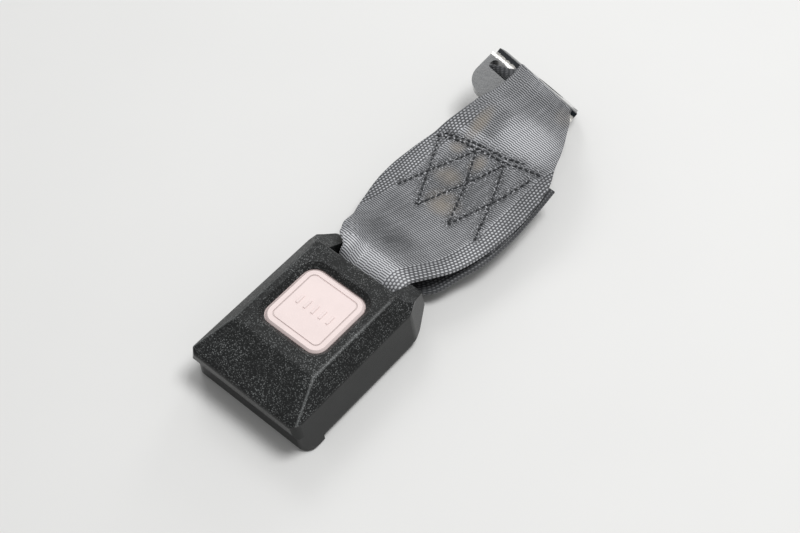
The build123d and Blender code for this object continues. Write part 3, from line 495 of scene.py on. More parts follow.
def gloss_paint(settings):
    """Thick black gloss paint with orange peel and scuffs, chipped, and worn off along the bend."""
    finish = Finish("gloss_paint", Specular_IOR_Level=0.4, Coat_Weight=0.9, Coat_Roughness=0.12)
    where = finish.object_place()
    peel = finish.noise(where, 1.3 * MM, 2.0)
    scuffs = finish.noise(finish.scaled(where, 0.3, 1.0, 1.0), 0.8 * MM, 4.0)
    chips = finish.noise(where, 1.7 * MM, 5.0, 0.7)
    offsets = [part - first for part, first in zip(finish.split(where), place(*PLATE_AT))]
    ahead = plate_direction(1, 0, 0)
    along = sum(offset * reach for offset, reach in zip(offsets, ahead))
    bend = 1.0 - (abs(along - WORN_MIDDLE * MM) / (WORN_REACH * MM)).held()
    bare = (chips.between(0.70, 0.715) + (bend + (chips - 0.5) * 0.7).between(0.36, 0.46)).held()
    haze = finish.noise(where, 8 * MM, 3.0)
    base = finish.blend(haze.between(0.4, 0.8) * 0.4, settings.paint_colour, HAZED_PAINT)
    base = finish.blend(bare, base, BARE_STEEL)
    finish.feed("Base Color", base)
    finish.feed("Metallic", bare * 0.9)
    finish.feed("Roughness", (0.16 + scuffs.between(0.45, 0.8) * 0.22 + bare * 0.2).held())
    finish.bump(peel - bare * 0.8, 0.05 * MM)
    return finish.material


# Soft patches on top of the strap as (x, y, half width, half length, strength): dirt, painted shade, and
# glossier rubbed places with painted sheen
DIRTY = ((-9.0, 127.5, 3.6, 9.0, 0.8), (0.4, 96.0, 8.0, 6.5, 0.85), (-10.1, 117.0, 4.0, 3.6, 0.7),
         (0.0, 115.0, 3.6, 5.0, 0.8), (-5.1, 105.5, 7.0, 5.0, 0.6), (14.5, 144.0, 5.0, 4.0, 0.35))
# Painted shade patches, darkest where the upper layer curves over behind the cover
PAINTED_SHADE_PATCHES = ((-4.3, 74.0, 20.0, 7.0, 0.95), (-2.5, 129.0, 3.4, 9.0, 0.6), (0.0, 104.0, 24.0, 15.0, 0.68),
          (11.0, 147.0, 12.0, 5.0, 0.5), (-12.0, 84.0, 14.0, 9.0, 0.5))
# Rubbed places: glossier, and painted paler as painted sheen
RUBBED_PAINTED_SHEEN = ((9.0, 129.0, 15.0, 11.0, 0.95), (0.0, 61.5, 22.0, 6.5, 1.4), (-6.0, 122.5, 12.0, 3.2, 0.8),
          (20.0, 88.0, 5.0, 26.0, 0.30), (-16.0, 112.0, 6.0, 24.0, 0.30))


def patches(parts, table):
    """Sum of soft spots about places of the strap."""
    total = 0.0
    for x, y, width, length, strength in table:
        spot = place(x, y, 0)
        dx = (parts[0] - spot.x) / (width * MM)
        dy = (parts[1] - spot.y) / (length * MM)
        total = (1.0 - (dx * dx + dy * dy)).held() ** 1.5 * strength + total
    return total.held()


def webbing_cloth(settings):
    """Ribbed webbing with twill borders, dirty in places, darker and frayed along the seams, with painted
    light: highlight on the ribs and shade between them, sheen and shade in patches, shade on the hidden
    layers.

    The third part of the weave is 0 on the hidden layers, and on top 1 and more towards a seam."""
    finish = Finish("webbing_cloth", Specular_IOR_Level=0.4, Sheen_Weight=0.15, Sheen_Roughness=0.35)
    across, along, layer = finish.split(finish.node(
        "ShaderNodeAttribute", {"attribute_name": "weave", "attribute_type": "GEOMETRY"}, output=1))
    where = finish.object_place()
    parts = finish.split(where)
    top = layer > 0.5
    seam = (layer - 1.0).held()
    relief, border, yarns = weave_relief(across, along, pulled_flat(parts[1], layer), settings)
    wander = finish.noise(where, 5 * MM, 4.0)
    streaks = finish.noise(finish.join(across * 0.9, along * 0.16, 0.0), 1.6, 4.0)
    fuzz = finish.noise(finish.join(across * 6.0, along * 1.2, 0.0), 1.4, 3.0)
    frayed = finish.noise(where, 0.55 * MM, 2.0)
    # rubbed: glossier and painted sheen; the next mask is painted shade
    rubbed = patches(parts, RUBBED_PAINTED_SHEEN) * top
    painted_shade = patches(parts, PAINTED_SHADE_PATCHES) * top
    # Painted sheen and painted shade in patches, random tone, and painted shade of wrinkles in the streaks
    tone = 0.70 + rubbed * 1.10 - painted_shade * 0.46 + (wander - 0.5) * 0.35 + (streaks - 0.5) * 0.55
    # The hidden layers are painted darker as painted shade, and the cloth is darker along the seams
    tone = tone * (1.0 - seam * 0.72) * (0.30 + 0.70 * top) * (1.0 + border * 0.15)
    # Painted light on the weave: lit yarn on the tops of the ribs and knots, shaded yarn between them; pale
    # frayed flecks along the seams
    pale = (relief ** 1.3) * tone * (0.70 + 0.30 * yarns) + seam * frayed.between(0.56, 0.66) * 0.80
    pale = pale + rubbed * 0.06
    base = finish.blend(pale.held(), settings.shaded_yarn, settings.lit_yarn)
    soiled = (patches(parts, DIRTY) * 1.3).held() * top * wander.between(0.15, 0.50)
    soiled = soiled * (1.0 - seam * 0.6)
    # Dirt, shaded darker between the ribs as painted shade
    shaded_dirt = tuple(0.35 * c for c in settings.dirt)
    dirt = finish.blend((relief * 0.5 + 0.25).held(), shaded_dirt, settings.dirt)
    base = finish.blend(soiled * 0.66, base, dirt)
    finish.feed("Base Color", base)
    gloss = relief * 0.18 + rubbed * 0.12 - (fuzz - 0.5) * 0.2 - soiled * 0.2
    finish.feed("Roughness", (0.58 - gloss).held())
    finish.bump(relief * 0.8 + fuzz * 0.2 + yarns * 0.15 + seam * frayed * 0.8, 0.07 * MM)
    return finish.material


def thread_cloth(settings):
    """Twisted sewing thread, with a painted highlight along its twist."""
    finish = Finish("thread_cloth", Specular_IOR_Level=0.4, Sheen_Weight=0.3, Sheen_Roughness=0.4)
    where = finish.object_place()
    twist = finish.noise(finish.scaled(where, 1.0, 0.5, 1.0), 0.25 * MM, 2.0)
    # Painted highlight: the twist painted up to five times brighter
    base = finish.blend(twist.between(0.45, 0.75), settings.thread_colour,
                        tuple(5.0 * c for c in settings.thread_colour))
    finish.feed("Base Color", base)
    finish.feed("Roughness", (0.5 + twist * 0.25).held())
    finish.bump(twist, 0.05 * MM)
    return finish.material


# Where the borders of the top layer begin to be pulled flat, where they are flattest, and how flat
FLAT_FROM, FLAT_TO, FLATNESS = 127, 135, 0.8
# The weave: width of one bundle of warp yarns and of one yarn, and the twill's knots across and along
BUNDLE = 2.9
YARN = 0.62
KNOT_ACROSS, KNOT_ALONG = 1.12, 1.22


def pulled_flat(away, layer):
    """How far the borders of the top layer are pulled flat over the plate."""
    share = away.between(place(0, FLAT_FROM, 0).y, place(0, FLAT_TO, 0).y)
    return share * (layer > 0.5) * FLATNESS


def weave_relief(across, along, plain, settings):
    """Height of the weave from 0 to 1, the mask of the twill borders and the fine warp yarns.

    Across runs from one edge to the other with 0 in the middle, and along from one end of the
    strap to the other, in millimetres. Where plain is 1, the borders show the ribs instead."""
    pitch = settings.rib_pitch / MM
    turn = 2 * math.pi
    place_across = across / BUNDLE
    column = place_across.floor()
    step = (column * 0.5 + (column * 0.37).fraction() * 0.2).fraction()
    joint = abs(place_across.fraction() - 0.5).between(0.36, 0.50)
    rib = ((along / pitch + step) * turn).sine() * 0.5 + 0.5
    rib = rib + joint * 0.10 * (1.0 - rib)
    yarns = (across * (turn / YARN)).sine() * 0.5 + 0.5
    half = settings.width / MM / 2
    border = (abs(across) - (half - settings.border / MM)).between(-0.3, 0.3) * (1.0 - plain)
    rows = across / KNOT_ACROSS
    cell_x = rows.fraction() - 0.5
    cell_y = (along / KNOT_ALONG + rows.floor() * 0.5).fraction() - 0.5
    knot = 1.0 - ((cell_x * cell_x * 1.5 + cell_y * cell_y * 1.1).root() * 2.1)
    knot = 0.15 + 0.85 * knot.between(0.04, 0.55)
    relief = rib * (1.0 - border) + knot * border
    return relief, border, yarns


# Geometry node trees

class Shaper(Tree):
    """A geometry node tree with named inputs, used once as a modifier and then applied."""

    def __init__(self, name, inputs):
        super().__init__(bpy.data.node_groups.new(name, "GeometryNodeTree"))
        face = self.tree.interface
        face.new_socket("Geometry", in_out="INPUT", socket_type="NodeSocketGeometry")
        face.new_socket("Geometry", in_out="OUTPUT", socket_type="NodeSocketGeometry")
        self.ids = {}
        self.values = {}
        for label, (kind, value) in inputs.items():
            self.ids[label] = face.new_socket(label, in_out="INPUT", socket_type=kind).identifier
            self.values[label] = value
        self.entry = self.tree.nodes.new("NodeGroupInput")
        self.exit = self.tree.nodes.new("NodeGroupOutput")

    def given(self, label):
        """The signal of a named input."""
        return Signal(self.tree, self.entry.outputs[label])

    def finish(self, shape):
        """Ends the tree in Realize Instances and Set Material."""
        real = self.node("GeometryNodeRealizeInstances", sockets={0: shape})
        done = self.node("GeometryNodeSetMaterial", sockets={0: real, "Material": self.given("Material")})
        self.tree.links.new(done.socket, self.exit.inputs[0])

    def applied(self, piece):
        """The piece's plain mesh after this tree, in a new object of the same name."""
        modifier = piece.modifiers.new(self.tree.name, "NODES")
        modifier.node_group = self.tree
        for label, identifier in self.ids.items():
            modifier[identifier] = self.values[label]
        view = bpy.context.evaluated_depsgraph_get()
        mesh = bpy.data.meshes.new_from_object(piece.evaluated_get(view), depsgraph=view)
        name = piece.name
        piece.modifiers.clear()
        bpy.data.objects.remove(piece)
        mesh.name = name
        return shown(name, mesh)


def shown(name, mesh):
    """A new object in the scene for a mesh."""
    piece = bpy.data.objects.new(name, mesh)
    bpy.context.scene.collection.objects.link(piece)
    return piece


def raised_weave(settings, material):
    """Tree that lifts the ribs and the twill borders off the smooth strap."""
    shaper = Shaper("raised weave", {
        "Rib height": ("NodeSocketFloat", settings.rib_height),
        "Material": ("NodeSocketMaterial", material),
    })
    weave = shaper.node("GeometryNodeInputNamedAttribute", {"data_type": "FLOAT_VECTOR"}, {"Name": "weave"})
    across, along, layer = shaper.split(weave)
    _, away, _ = shaper.split(shaper.node("GeometryNodeInputPosition"))
    relief, _, _ = weave_relief(across, along, pulled_flat(away, layer), settings)
    normal = shaper.node("GeometryNodeInputNormal")
    lift = (relief - 0.5) * shaper.given("Rib height")
    offset = shaper.node("ShaderNodeVectorMath", {"operation": "SCALE"}, {0: normal, "Scale": lift})
    moved = shaper.node("GeometryNodeSetPosition",
                        sockets={0: shaper.given("Geometry"), "Offset": offset})
    shaper.finish(moved)
    return shaper


# How much of a stitch's length its loop of thread fills, and how flat the thread is pulled
STITCH_SHARE = 0.92
THREAD_FLATNESS = 0.85


def sewn_rows(settings, material):
    """Tree that lays a short thread loop at each stitch along the sewing lines."""
    shaper = Shaper("sewn rows", {
        "Stitch": ("NodeSocketFloat", settings.stitch),
        "Thread": ("NodeSocketFloat", settings.thread),
        "Unevenness": ("NodeSocketFloat", 0.48),
        "Seed": ("NodeSocketInt", settings.seed),
        "Material": ("NodeSocketMaterial", material),
    })
    seed = shaper.given("Seed")
    rows = shaper.node("GeometryNodeMeshToCurve", sockets={0: shaper.given("Geometry")})
    stitches = shaper.node("GeometryNodeResampleCurve", {"mode": "LENGTH"},
                           {"Curve": rows, "Length": shaper.given("Stitch")})
    points = shaper.node("GeometryNodeCurveToPoints", {"mode": "EVALUATED"}, {0: stitches})
    turned = Signal(shaper.tree, points.socket.node.outputs["Rotation"])
    loop = shaper.node("GeometryNodeMeshUVSphere", sockets={"Segments": 8, "Rings": 6, "Radius": 0.5})
    length = shaper.given("Stitch") * STITCH_SHARE
    thick = shaper.given("Thread")
    long_loop = shaper.node("GeometryNodeTransform", sockets={
        "Geometry": loop, "Scale": shaper.join(thick, thick * THREAD_FLATNESS, length)})
    wild = shaper.given("Unevenness")
    turn = shaper.node("FunctionNodeRandomValue", {"data_type": "FLOAT_VECTOR"},
                       {0: (-1.0, -1.0, -1.0), 1: (1.0, 1.0, 1.0), "Seed": seed})
    tilt = shaper.node("ShaderNodeVectorMath", {"operation": "SCALE"}, {0: turn, "Scale": wild})
    size = shaper.node("FunctionNodeRandomValue", {"data_type": "FLOAT"},
                       {2: 0.8, 3: 1.15, "Seed": seed}, 1)
    placed = shaper.node("GeometryNodeInstanceOnPoints", sockets={
        "Points": points, "Instance": long_loop, "Rotation": turned,
        "Scale": shaper.join(size, size, size)})
    skewed = shaper.node("GeometryNodeRotateInstances", sockets={0: placed, "Rotation": tilt})
    shaper.finish(skewed)
    return shaper


# The strap

# The strap is a sheet of rows, from its end under the sewn block, round the frame's bar, over the top,
# round the anchor plate's bar and back between the layers. All places are in the buckle's frame.

# Half width of the strap laid flat, on the weave's own scale
FLAT_HALF = 24.0

# Turn round the frame's bar: its middle (y, z), and how far the sheet's middle stays from it
BUCKLE_BAR = (57.3, 6.9, 3.25, 2.25)
BAR_STEPS = 8
# Half width of the gathered strap between the cover's ears
THROAT = 12.2

# Upper layer up to the anchor loop as (y, left, right), and its height as (y, z)
TOP_EDGES = ((57.6, -12.2, 12.2), (58.6, -12.2, 12.2), (60.0, -12.2, 12.3), (62.0, -12.2, 12.4),
             (64.5, -12.7, 12.9), (68.0, -15.5, 15.0), (72.0, -18.4, 17.5), (77.0, -20.7, 20.3),
             (83.0, -22.2, 22.4), (90.0, -23.5, 24.0), (98.0, -23.7, 25.2), (108.0, -22.6, 26.0))
TOP_HEIGHTS = ((57.6, 9.3), (58.6, 11.0), (60.0, 12.6), (62.0, 13.5), (65.0, 13.8), (69.0, 13.5),
               (74.0, 13.0), (80.0, 12.6), (88.0, 12.45), (122.0, 14.65), (140.0, 15.8))
# Its last rows, skewed more and more towards the plate, as (left x, left y, right x, right y)
TOP_SKEWED = ((-21.0, 117.0, 26.0, 115.5), (-19.8, 123.4, 25.3, 121.6), (-17.5, 130.6, 23.0, 127.2))
# Rise of the upper layer to the plate as (distance from the plate's bend, height)
RAMP = ((-35.8, 14.25), (-16.6, 21.1))
# Softness of the bend where the rise begins
RAMP_BEND = 0.8

# The two lower layers as (y, z, left, right)
LOW_LINE = ((124.6, 12.35, -20.0, 25.7), (112.0, 11.5, -22.4, 26.4), (100.0, 10.75, -22.6, 26.5),
            (88.0, 9.9, -22.0, 25.2), (79.4, 8.1, -20.6, 22.0), (71.0, 6.3, -17.2, 18.7),
            (66.0, 5.3, -12.9, 13.6), (62.0, 4.75, -12.3, 12.4), (57.6, 4.65, -12.2, 12.2))
MIDDLE_LINE = ((128.0, 13.5, -17.8, 20.6), (121.0, 13.25, -19.8, 22.4), (110.0, 12.55, -22.0, 24.6),
               (98.0, 11.85, -22.6, 25.4), (90.0, 11.25, -22.2, 24.2))

# Rows over the plate as (left along, left across, right along, right across, up)
OVER_PLATE = ((-16.6, -6.7, -13.5, 30.1, 1.9), (-11.5, -5.8, -9.8, 27.7, 1.9),
              (-7.0, -5.6, -6.4, 25.3, 2.3), (-2.6, -5.4, -2.8, 22.8, 3.3))
# Fold over the bend: where it turns on the left and on the right, its middle's height and its radius
FOLD_LEFT = (0.9, -6.4)
FOLD_RIGHT = (-0.3, 19.8)
FOLD_UP = 2.95
FOLD_RADIUS = 0.70
FOLD_STEPS = 6
# Rows back down through the slot and out below the bar as (along, left, right, up)
THROUGH_SLOT = ((-1.6, -8.0, 18.4, 2.20), (-3.8, -13.0, 16.8, 1.6), (-4.9, -16.2, 16.5, 0.1),
                (-5.1, -16.4, 16.4, -1.6), (-5.4, -16.2, 16.4, -3.0), (-6.8, -14.0, 16.5, -4.3),
                (-11.0, -11.0, 17.0, -4.9), (-17.0, -11.0, 19.0, -4.9))

# Zigzag rows of the sewing as (x, y), with the dense row across at their back
SEWING = (
    ((-18.3, 117.5), (-12.5, 104.5), (-6.2, 90.4), (0.4, 104.8), (7.8, 119.6), (13.1, 105.6),
     (17.6, 91.6)),
    ((-16.4, 93.6), (-10.8, 106.1), (-3.9, 119.2), (1.7, 106.5), (7.0, 90.8), (12.4, 104.0),
     (18.4, 118.4)),
    ((-18.3, 117.3), (-13.7, 118.7), (-6.5, 119.6), (0.2, 120.0), (7.8, 120.2), (14.0, 121.6),
     (19.6, 122.3)),
    ((-16.9, 119.2), (-9.5, 120.6), (-2.0, 121.4), (6.0, 121.6), (13.0, 123.0)),
)


def catmull(points, steps):
    """Smooth line through the points, each a tuple of numbers, with even steps in each span."""
    line = []
    last = len(points) - 1
    for i in range(last):
        p0, p1, p2, p3 = points[max(i - 1, 0)], points[i], points[i + 1], points[min(i + 2, last)]
        for s in range(steps):
            t = s / steps
            line.append(tuple(
                0.5 * (2 * b + (c - a) * t + (2 * a - 5 * b + 4 * c - d) * t * t
                       + (3 * b - a - 3 * c + d) * t ** 3)
                for a, b, c, d in zip(p0, p1, p2, p3)))
    line.append(tuple(points[last]))
    return line


def plate_point(along, up, across):
    """A point of the plate's pitched frame, in the buckle's frame."""
    return tuple(start + reach for start, reach in zip(PLATE_AT, plate_direction(along, up, across)))


def between(table, at):
    """Straight reading of a table of (place, value)."""
    for (before, low), (after, high) in zip(table, table[1:]):
        if at <= after:
            return low + (high - low) * (at - before) / (after - before)
    return table[-1][1]


def rest_height(x, y):
    """Height of the upper layer's middle: the sewn block, or the rise to the plate behind it."""
    flat = between(TOP_HEIGHTS, y)
    along = (x - PLATE_AT[0]) * math.sin(PLATE_TURN) + (y - PLATE_AT[1]) * math.cos(PLATE_TURN)
    (start, low), (end, high) = RAMP
    ramp = low + (high - low) * (along - start) / (end - start)
    return (flat + ramp + math.hypot(flat - ramp, RAMP_BEND)) / 2


def edge_rows():
    """Left and right edge of the strap along its whole length, with the weave at the left edge.

    Each row is (left x, y, z, right x, y, z, weave)."""
    def level(y, z, left, right, weave=-FLAT_HALF):
        return (left, y, z, right, y, z, weave)

    def resting(x0, y0, x1, y1, weave):
        return (x0, y0, rest_height(x0, y0), x1, y1, rest_height(x1, y1), weave)

    def at_plate(up, left, right):
        return (*plate_point(left[0], up, left[1]), *plate_point(right[0], up, right[1]), -FLAT_HALF)

    rows = [level(*row, FLAT_HALF - (row[3] - row[2])) for row in LOW_LINE]
    bar_y, bar_z, reach, rise = BUCKLE_BAR
    for i in range(1, BAR_STEPS):
        angle = math.pi * i / BAR_STEPS
        rows.append(level(bar_y - reach * math.sin(angle), bar_z - rise * math.cos(angle),
                          -THROAT, THROAT, FLAT_HALF - 2 * THROAT))
    for y, left, right in TOP_EDGES:
        rows.append(resting(left, y, right, y, FLAT_HALF - (right - left)))
    rows += [resting(*row, -FLAT_HALF) for row in TOP_SKEWED]
    for left_along, left, right_along, right, up in OVER_PLATE:
        rows.append(at_plate(up, (left_along, left), (right_along, right)))
    for i in range(FOLD_STEPS + 1):
        angle = math.pi * (0.5 - i / FOLD_STEPS)
        reach, up = FOLD_RADIUS * math.cos(angle), FOLD_UP + FOLD_RADIUS * math.sin(angle)
        left, right = (FOLD_LEFT[0] + reach, FOLD_LEFT[1]), (FOLD_RIGHT[0] + reach, FOLD_RIGHT[1])
        rows.append(at_plate(up, left, right))
    for along, left, right, up in THROUGH_SLOT:
        rows.append(at_plate(up, (along, left), (along, right)))
    rows += [level(*row) for row in MIDDLE_LINE]
    return rows


def evened(rows, step):
    """Rows at even steps along the smooth line through the given ones, with the length so far."""
    fine = catmull(rows, 24)
    length = 0.0
    result = [(*fine[0], 0.0)]
    due = step
    for before, after in zip(fine, fine[1:]):
        gap = math.dist([(before[i] + before[i + 3]) / 2 for i in range(3)],
                        [(after[i] + after[i + 3]) / 2 for i in range(3)])
        while gap > 0 and length + gap >= due:
            share = (due - length) / gap
            result.append((*(b + (a - b) * share for b, a in zip(before, after)), due))
            due += step
        length += gap
    return result


def columns(count):
    """Places across the strap from 0 to 1, closer together in the twill borders."""
    return [0.5 - 0.5 * (math.cos(math.pi * i / count) * 0.35 + (1 - 2 * i / count) * 0.65)
            for i in range(count + 1)]


def segment_distance(point, start, end):
    """Distance in plan from a point to a line."""
    line = (end[0] - start[0], end[1] - start[1])
    size = line[0] ** 2 + line[1] ** 2
    step = (point[0] - start[0], point[1] - start[1])
    share = max(0.0, min(1.0, (step[0] * line[0] + step[1] * line[1]) / size))
    return math.hypot(step[0] - share * line[0], step[1] - share * line[1])


SEAMS = [(a, b) for row in SEWING for a, b in zip(row, row[1:])]
# How far a seam draws the cloth in, and the stretch of the strap that has seams
SEAM_REACH = 2.3
SEWN_FROM, SEWN_TO = 86, 127


def closeness(x, y):
    """1 on a seam, falling to 0 within a few millimetres in plan."""
    if not SEWN_FROM < y < SEWN_TO:
        return 0.0
    near = min(segment_distance((x, y), a, b) for a, b in SEAMS)
    return math.exp(-(near / SEAM_REACH) ** 2)


# Faces across the strap, and rows of faces to one rib of the weave
FACES_ACROSS = 50
ROWS_TO_A_RIB = 3.0


def strap_surface(step):
    """Middle surface of the strap as rows of (point, across, along), in millimetres."""
    shares = columns(FACES_ACROSS)
    grid = []
    for row in evened(edge_rows(), step):
        left, right, weave, along = Vector(row[0:3]), Vector(row[3:6]), row[6], row[7]
        span = (right - left).length
        grid.append([(left.lerp(right, share), weave + share * span, along) for share in shares])
    return grid


def eased(low, high, value):
    """0 at low, 1 at high, with a soft start and end."""
    share = max(0.0, min(1.0, (value - low) / (high - low)))
    return share * share * (3 - 2 * share)


# The upper layer is crowned, dips along its seams, and its right edge hangs beside the right ear
CROWN = 0.55
CROWN_FROM, CROWN_TO = 58, 66
CROWN_END_ROWS = 20
SEAM_DIP = 0.45
RIGHT_DROOP = 0.5
RIGHT_REACH = 0.07
# Its left edge climbs the inside of the left ear and lies over it: rise, reach outwards
CURL_RISE = 4.0
CURL_REACH = 3.9
# Thickness of the selvedge against that of the strap, from the edge inwards
SELVEDGE = (0.55, 0.9)


def upper_layer(point, share, rows_left):
    """A point of the upper layer moved to where the cloth really lies.

    Share runs from 0 at the left edge to 1 at the right, and rows left are those up to the fold."""
    y = point.y
    lift = Vector((0, 0, 0))
    crown = min(1.0, max(0.0, (y - CROWN_FROM) / (CROWN_TO - CROWN_FROM)))
    crown *= min(1.0, rows_left / CROWN_END_ROWS)
    lift.z += CROWN * math.sin(math.pi * share) ** 0.7 * crown
    lift.z -= SEAM_DIP * closeness(point.x, y)
    lift.z -= RIGHT_DROOP * (1 - eased(57, 83, y)) * math.exp(-(((1 - share) / RIGHT_REACH) ** 2))
    curl = eased(54.5, 59.5, y) * (1 - eased(62.5, 80, y))
    lift.z += CURL_RISE * curl * (1 - eased(0.05, 0.32, share))
    outwards = eased(60, 63.5, y) * (1 - eased(64.5, 74, y))
    lift.x -= CURL_REACH * outwards * (1 - eased(0.0, 0.14, share))
    return point + lift


def strap_mesh(settings):
    """Closed mesh of the strap with its weave attribute in millimetres."""
    rows = strap_surface(settings.rib_pitch / MM / ROWS_TO_A_RIB)
    count = len(rows[0])
    half = settings.thickness / MM / 2
    mesh = bmesh.new()
    weave = mesh.verts.layers.float_vector.new("weave")
    turn_row = max(range(len(rows)), key=lambda i: rows[i][0][0].y + rows[i][-1][0].y)
    first_top = min(range(len(rows)), key=lambda i: rows[i][0][0].y)

    def settled(i, j):
        point = rows[i][j][0]
        return upper_layer(point, j / (count - 1), turn_row - i) if first_top < i < turn_row else point

    def seam_mark(i, point):
        return 1.0 + closeness(point.x, point.y) if first_top < i < turn_row else 0.0

    surface = [[settled(i, j) for j in range(count)] for i in range(len(rows))]
    faces = {}
    for side in (1, -1):
        sheet = []
        for i in range(len(rows)):
            ahead = surface[min(i + 1, len(rows) - 1)]
            behind = surface[max(i - 1, 0)]
            line = []
            for j in range(count):
                along_way = ahead[j] - behind[j]
                across_way = surface[i][min(j + 1, count - 1)] - surface[i][max(j - 1, 0)]
                normal = along_way.cross(across_way).normalized()
                near_edge = min(j, count - 1 - j)
                thin = SELVEDGE[near_edge] if near_edge < len(SELVEDGE) else 1.0
                vert = mesh.verts.new(place(*(surface[i][j] + normal * half * thin * side)))
                vert[weave] = (rows[i][j][1], rows[i][j][2], seam_mark(i, surface[i][j]))
                line.append(vert)
            sheet.append(line)
        faces[side] = sheet
    upper, lower = faces[1], faces[-1]
    for i in range(len(rows) - 1):
        for j in range(count - 1):
            mesh.faces.new((upper[i][j], upper[i + 1][j], upper[i + 1][j + 1], upper[i][j + 1]))
            mesh.faces.new((lower[i][j], lower[i][j + 1], lower[i + 1][j + 1], lower[i + 1][j]))
        for j in (0, count - 1):
            quad = (upper[i][j], lower[i][j], lower[i + 1][j], upper[i + 1][j])
            mesh.faces.new(quad if j == 0 else quad[::-1])
    for i in (0, len(rows) - 1):
        for j in range(count - 1):
            quad = (upper[i][j], upper[i][j + 1], lower[i][j + 1], lower[i][j])
            mesh.faces.new(quad if i == 0 else quad[::-1])
    bmesh.ops.recalc_face_normals(mesh, faces=mesh.faces)
    for face in mesh.faces:
        face.smooth = True
    plain = bpy.data.meshes.new("strap")
    mesh.to_mesh(plain)
    mesh.free()
    return plain


# Pieces of each straight run of sewing, and a height well above the strap
RUN_PIECES = 10
ABOVE = 60


def sewing_mesh(strap):
    """Edges of the sewing rows, laid on the strap's upper face."""
    sheet = BVHTree.FromPolygons([v.co for v in strap.vertices], [p.vertices for p in strap.polygons])
    down = Vector((0, 0, -1))
    mesh = bmesh.new()
    for row in SEWING:
        before = None
        for start, end in zip(row, row[1:]):
            for s in range(RUN_PIECES + 1):
                x = start[0] + (end[0] - start[0]) * s / RUN_PIECES
                y = start[1] + (end[1] - start[1]) * s / RUN_PIECES
                vert = mesh.verts.new(sheet.ray_cast(place(x, y, ABOVE), down)[0])
                if before is not None:
                    mesh.edges.new((before, vert))
                before = vert
    bmesh.ops.remove_doubles(mesh, verts=mesh.verts, dist=0.01 * MM)
    plain = bpy.data.meshes.new("sewing")
    mesh.to_mesh(plain)
    mesh.free()
    return plain


# Operators

# Half side of the floor in metres
FLOOR_HALF = 3.0
# Softboxes as (name, way from the buckle in metres, side of the square, the setting of its power)
SOFTBOXES = (("overhead", (0.24, 0.16, 0.94), 0.34, "overhead_power"),
             ("side", (-0.57, 0.42, 0.74), 0.36, "fill_power"),
             ("rear", (-0.28, 0.88, 0.36), 0.30, "rear_power"))
AIM = (0, 70, 10)
SENSOR_WIDTH = 36


def settings_of(context, name):
    return getattr(context.scene, name)


def dress(nodes, material):
    """Gives CAD nodes a material."""
    for name in nodes:
        node = frame["nodes"][name]
        node.data.materials.clear()
        node.data.materials.append(material)


class BUCKLE_OT_stage(bpy.types.Operator):
    """Make the floor, the lights and the camera"""
    bl_idname = "buckle.stage"
    bl_label = "Stage"

    def execute(self, context):
        settings = settings_of(context, "buckle_stage")
        self.floor(settings)
        self.lights(context, settings)
        self.camera(context, settings)
        return {"FINISHED"}

    def floor(self, settings):
        corners = [(x * FLOOR_HALF, y * FLOOR_HALF, 0) for x, y in ((-1, -1), (1, -1), (1, 1), (-1, 1))]
        mesh = bpy.data.meshes.new("floor")
        mesh.from_pydata(corners, [], [(0, 1, 2, 3)])
        floor = shown("floor", mesh)
        finish = Finish("floor_paint", Specular_IOR_Level=0.2)
        clouds = finish.noise(finish.object_place(), 60 * MM, 3.0)
        darker = tuple(0.97 * c for c in settings.floor_colour)
        finish.feed("Base Color", finish.blend(clouds.held(), settings.floor_colour, darker))
        finish.feed("Roughness", 0.6)
        mesh.materials.append(finish.material)

    def lights(self, context, settings):
        for name, offset, size, power in SOFTBOXES:
            data = bpy.data.lights.new(name, "AREA")
            data.shape = "SQUARE"
            data.size = size
            data.energy = getattr(settings, power)
            lamp = bpy.data.objects.new(name, data)
            context.scene.collection.objects.link(lamp)
            lamp.location = place(*AIM) + Vector(offset)
            lamp.rotation_euler = Vector(offset).to_track_quat("Z", "Y").to_euler()
        world = bpy.data.worlds.new("room")
        world.use_nodes = True
        background = world.node_tree.nodes["Background"]
        background.inputs["Color"].default_value = (1.0, 1.0, 1.0, 1.0)
        background.inputs["Strength"].default_value = settings.sky_strength
        context.scene.world = world

    def camera(self, context, settings):
        az, el, roll = settings.azimuth, settings.elevation, settings.roll
        back = Vector((math.sin(az) * math.cos(el), -math.cos(az) * math.cos(el), math.sin(el)))
        right = Vector((0, 0, 1)).cross(back).normalized()
        up = back.cross(right)
        side = math.cos(roll) * right + math.sin(roll) * up
        above = -math.sin(roll) * right + math.cos(roll) * up
        data = bpy.data.cameras.new("camera")
        data.lens = settings.lens
        data.sensor_width = SENSOR_WIDTH
        data.clip_start = 0.01
        camera = bpy.data.objects.new("camera", data)
        context.scene.collection.objects.link(camera)
        turn = Matrix((side, above, back)).transposed()
        camera.matrix_world = Matrix.Translation(place(*settings.stand)) @ turn.to_4x4()
        context.scene.camera = camera
        context.scene.view_settings.view_transform = "Standard"


class BUCKLE_OT_covers(bpy.types.Operator):
    """Give the two covers their grained plastic"""
    bl_idname = "buckle.covers"
    bl_label = "Covers"

    def execute(self, context):
        dress(("upper_cover", "lower_cover"), cover_plastic(settings_of(context, "buckle_plastic")))
        return {"FINISHED"}


class BUCKLE_OT_button(bpy.types.Operator):
    """Give the press button its pale plastic"""
    bl_idname = "buckle.button"
    bl_label = "Button"

    def execute(self, context):
        dress(("button",), button_plastic(settings_of(context, "buckle_plastic")))
        return {"FINISHED"}


class BUCKLE_OT_inner_parts(bpy.types.Operator):
    """Give the ejector, the guide and the spring seat their natural plastic"""
    bl_idname = "buckle.inner_parts"
    bl_label = "Inner parts"

    def execute(self, context):
        natural = inner_plastic(settings_of(context, "buckle_plastic"))
        dress(("ejector", "tongue_guide", "spring_seat"), natural)
        return {"FINISHED"}


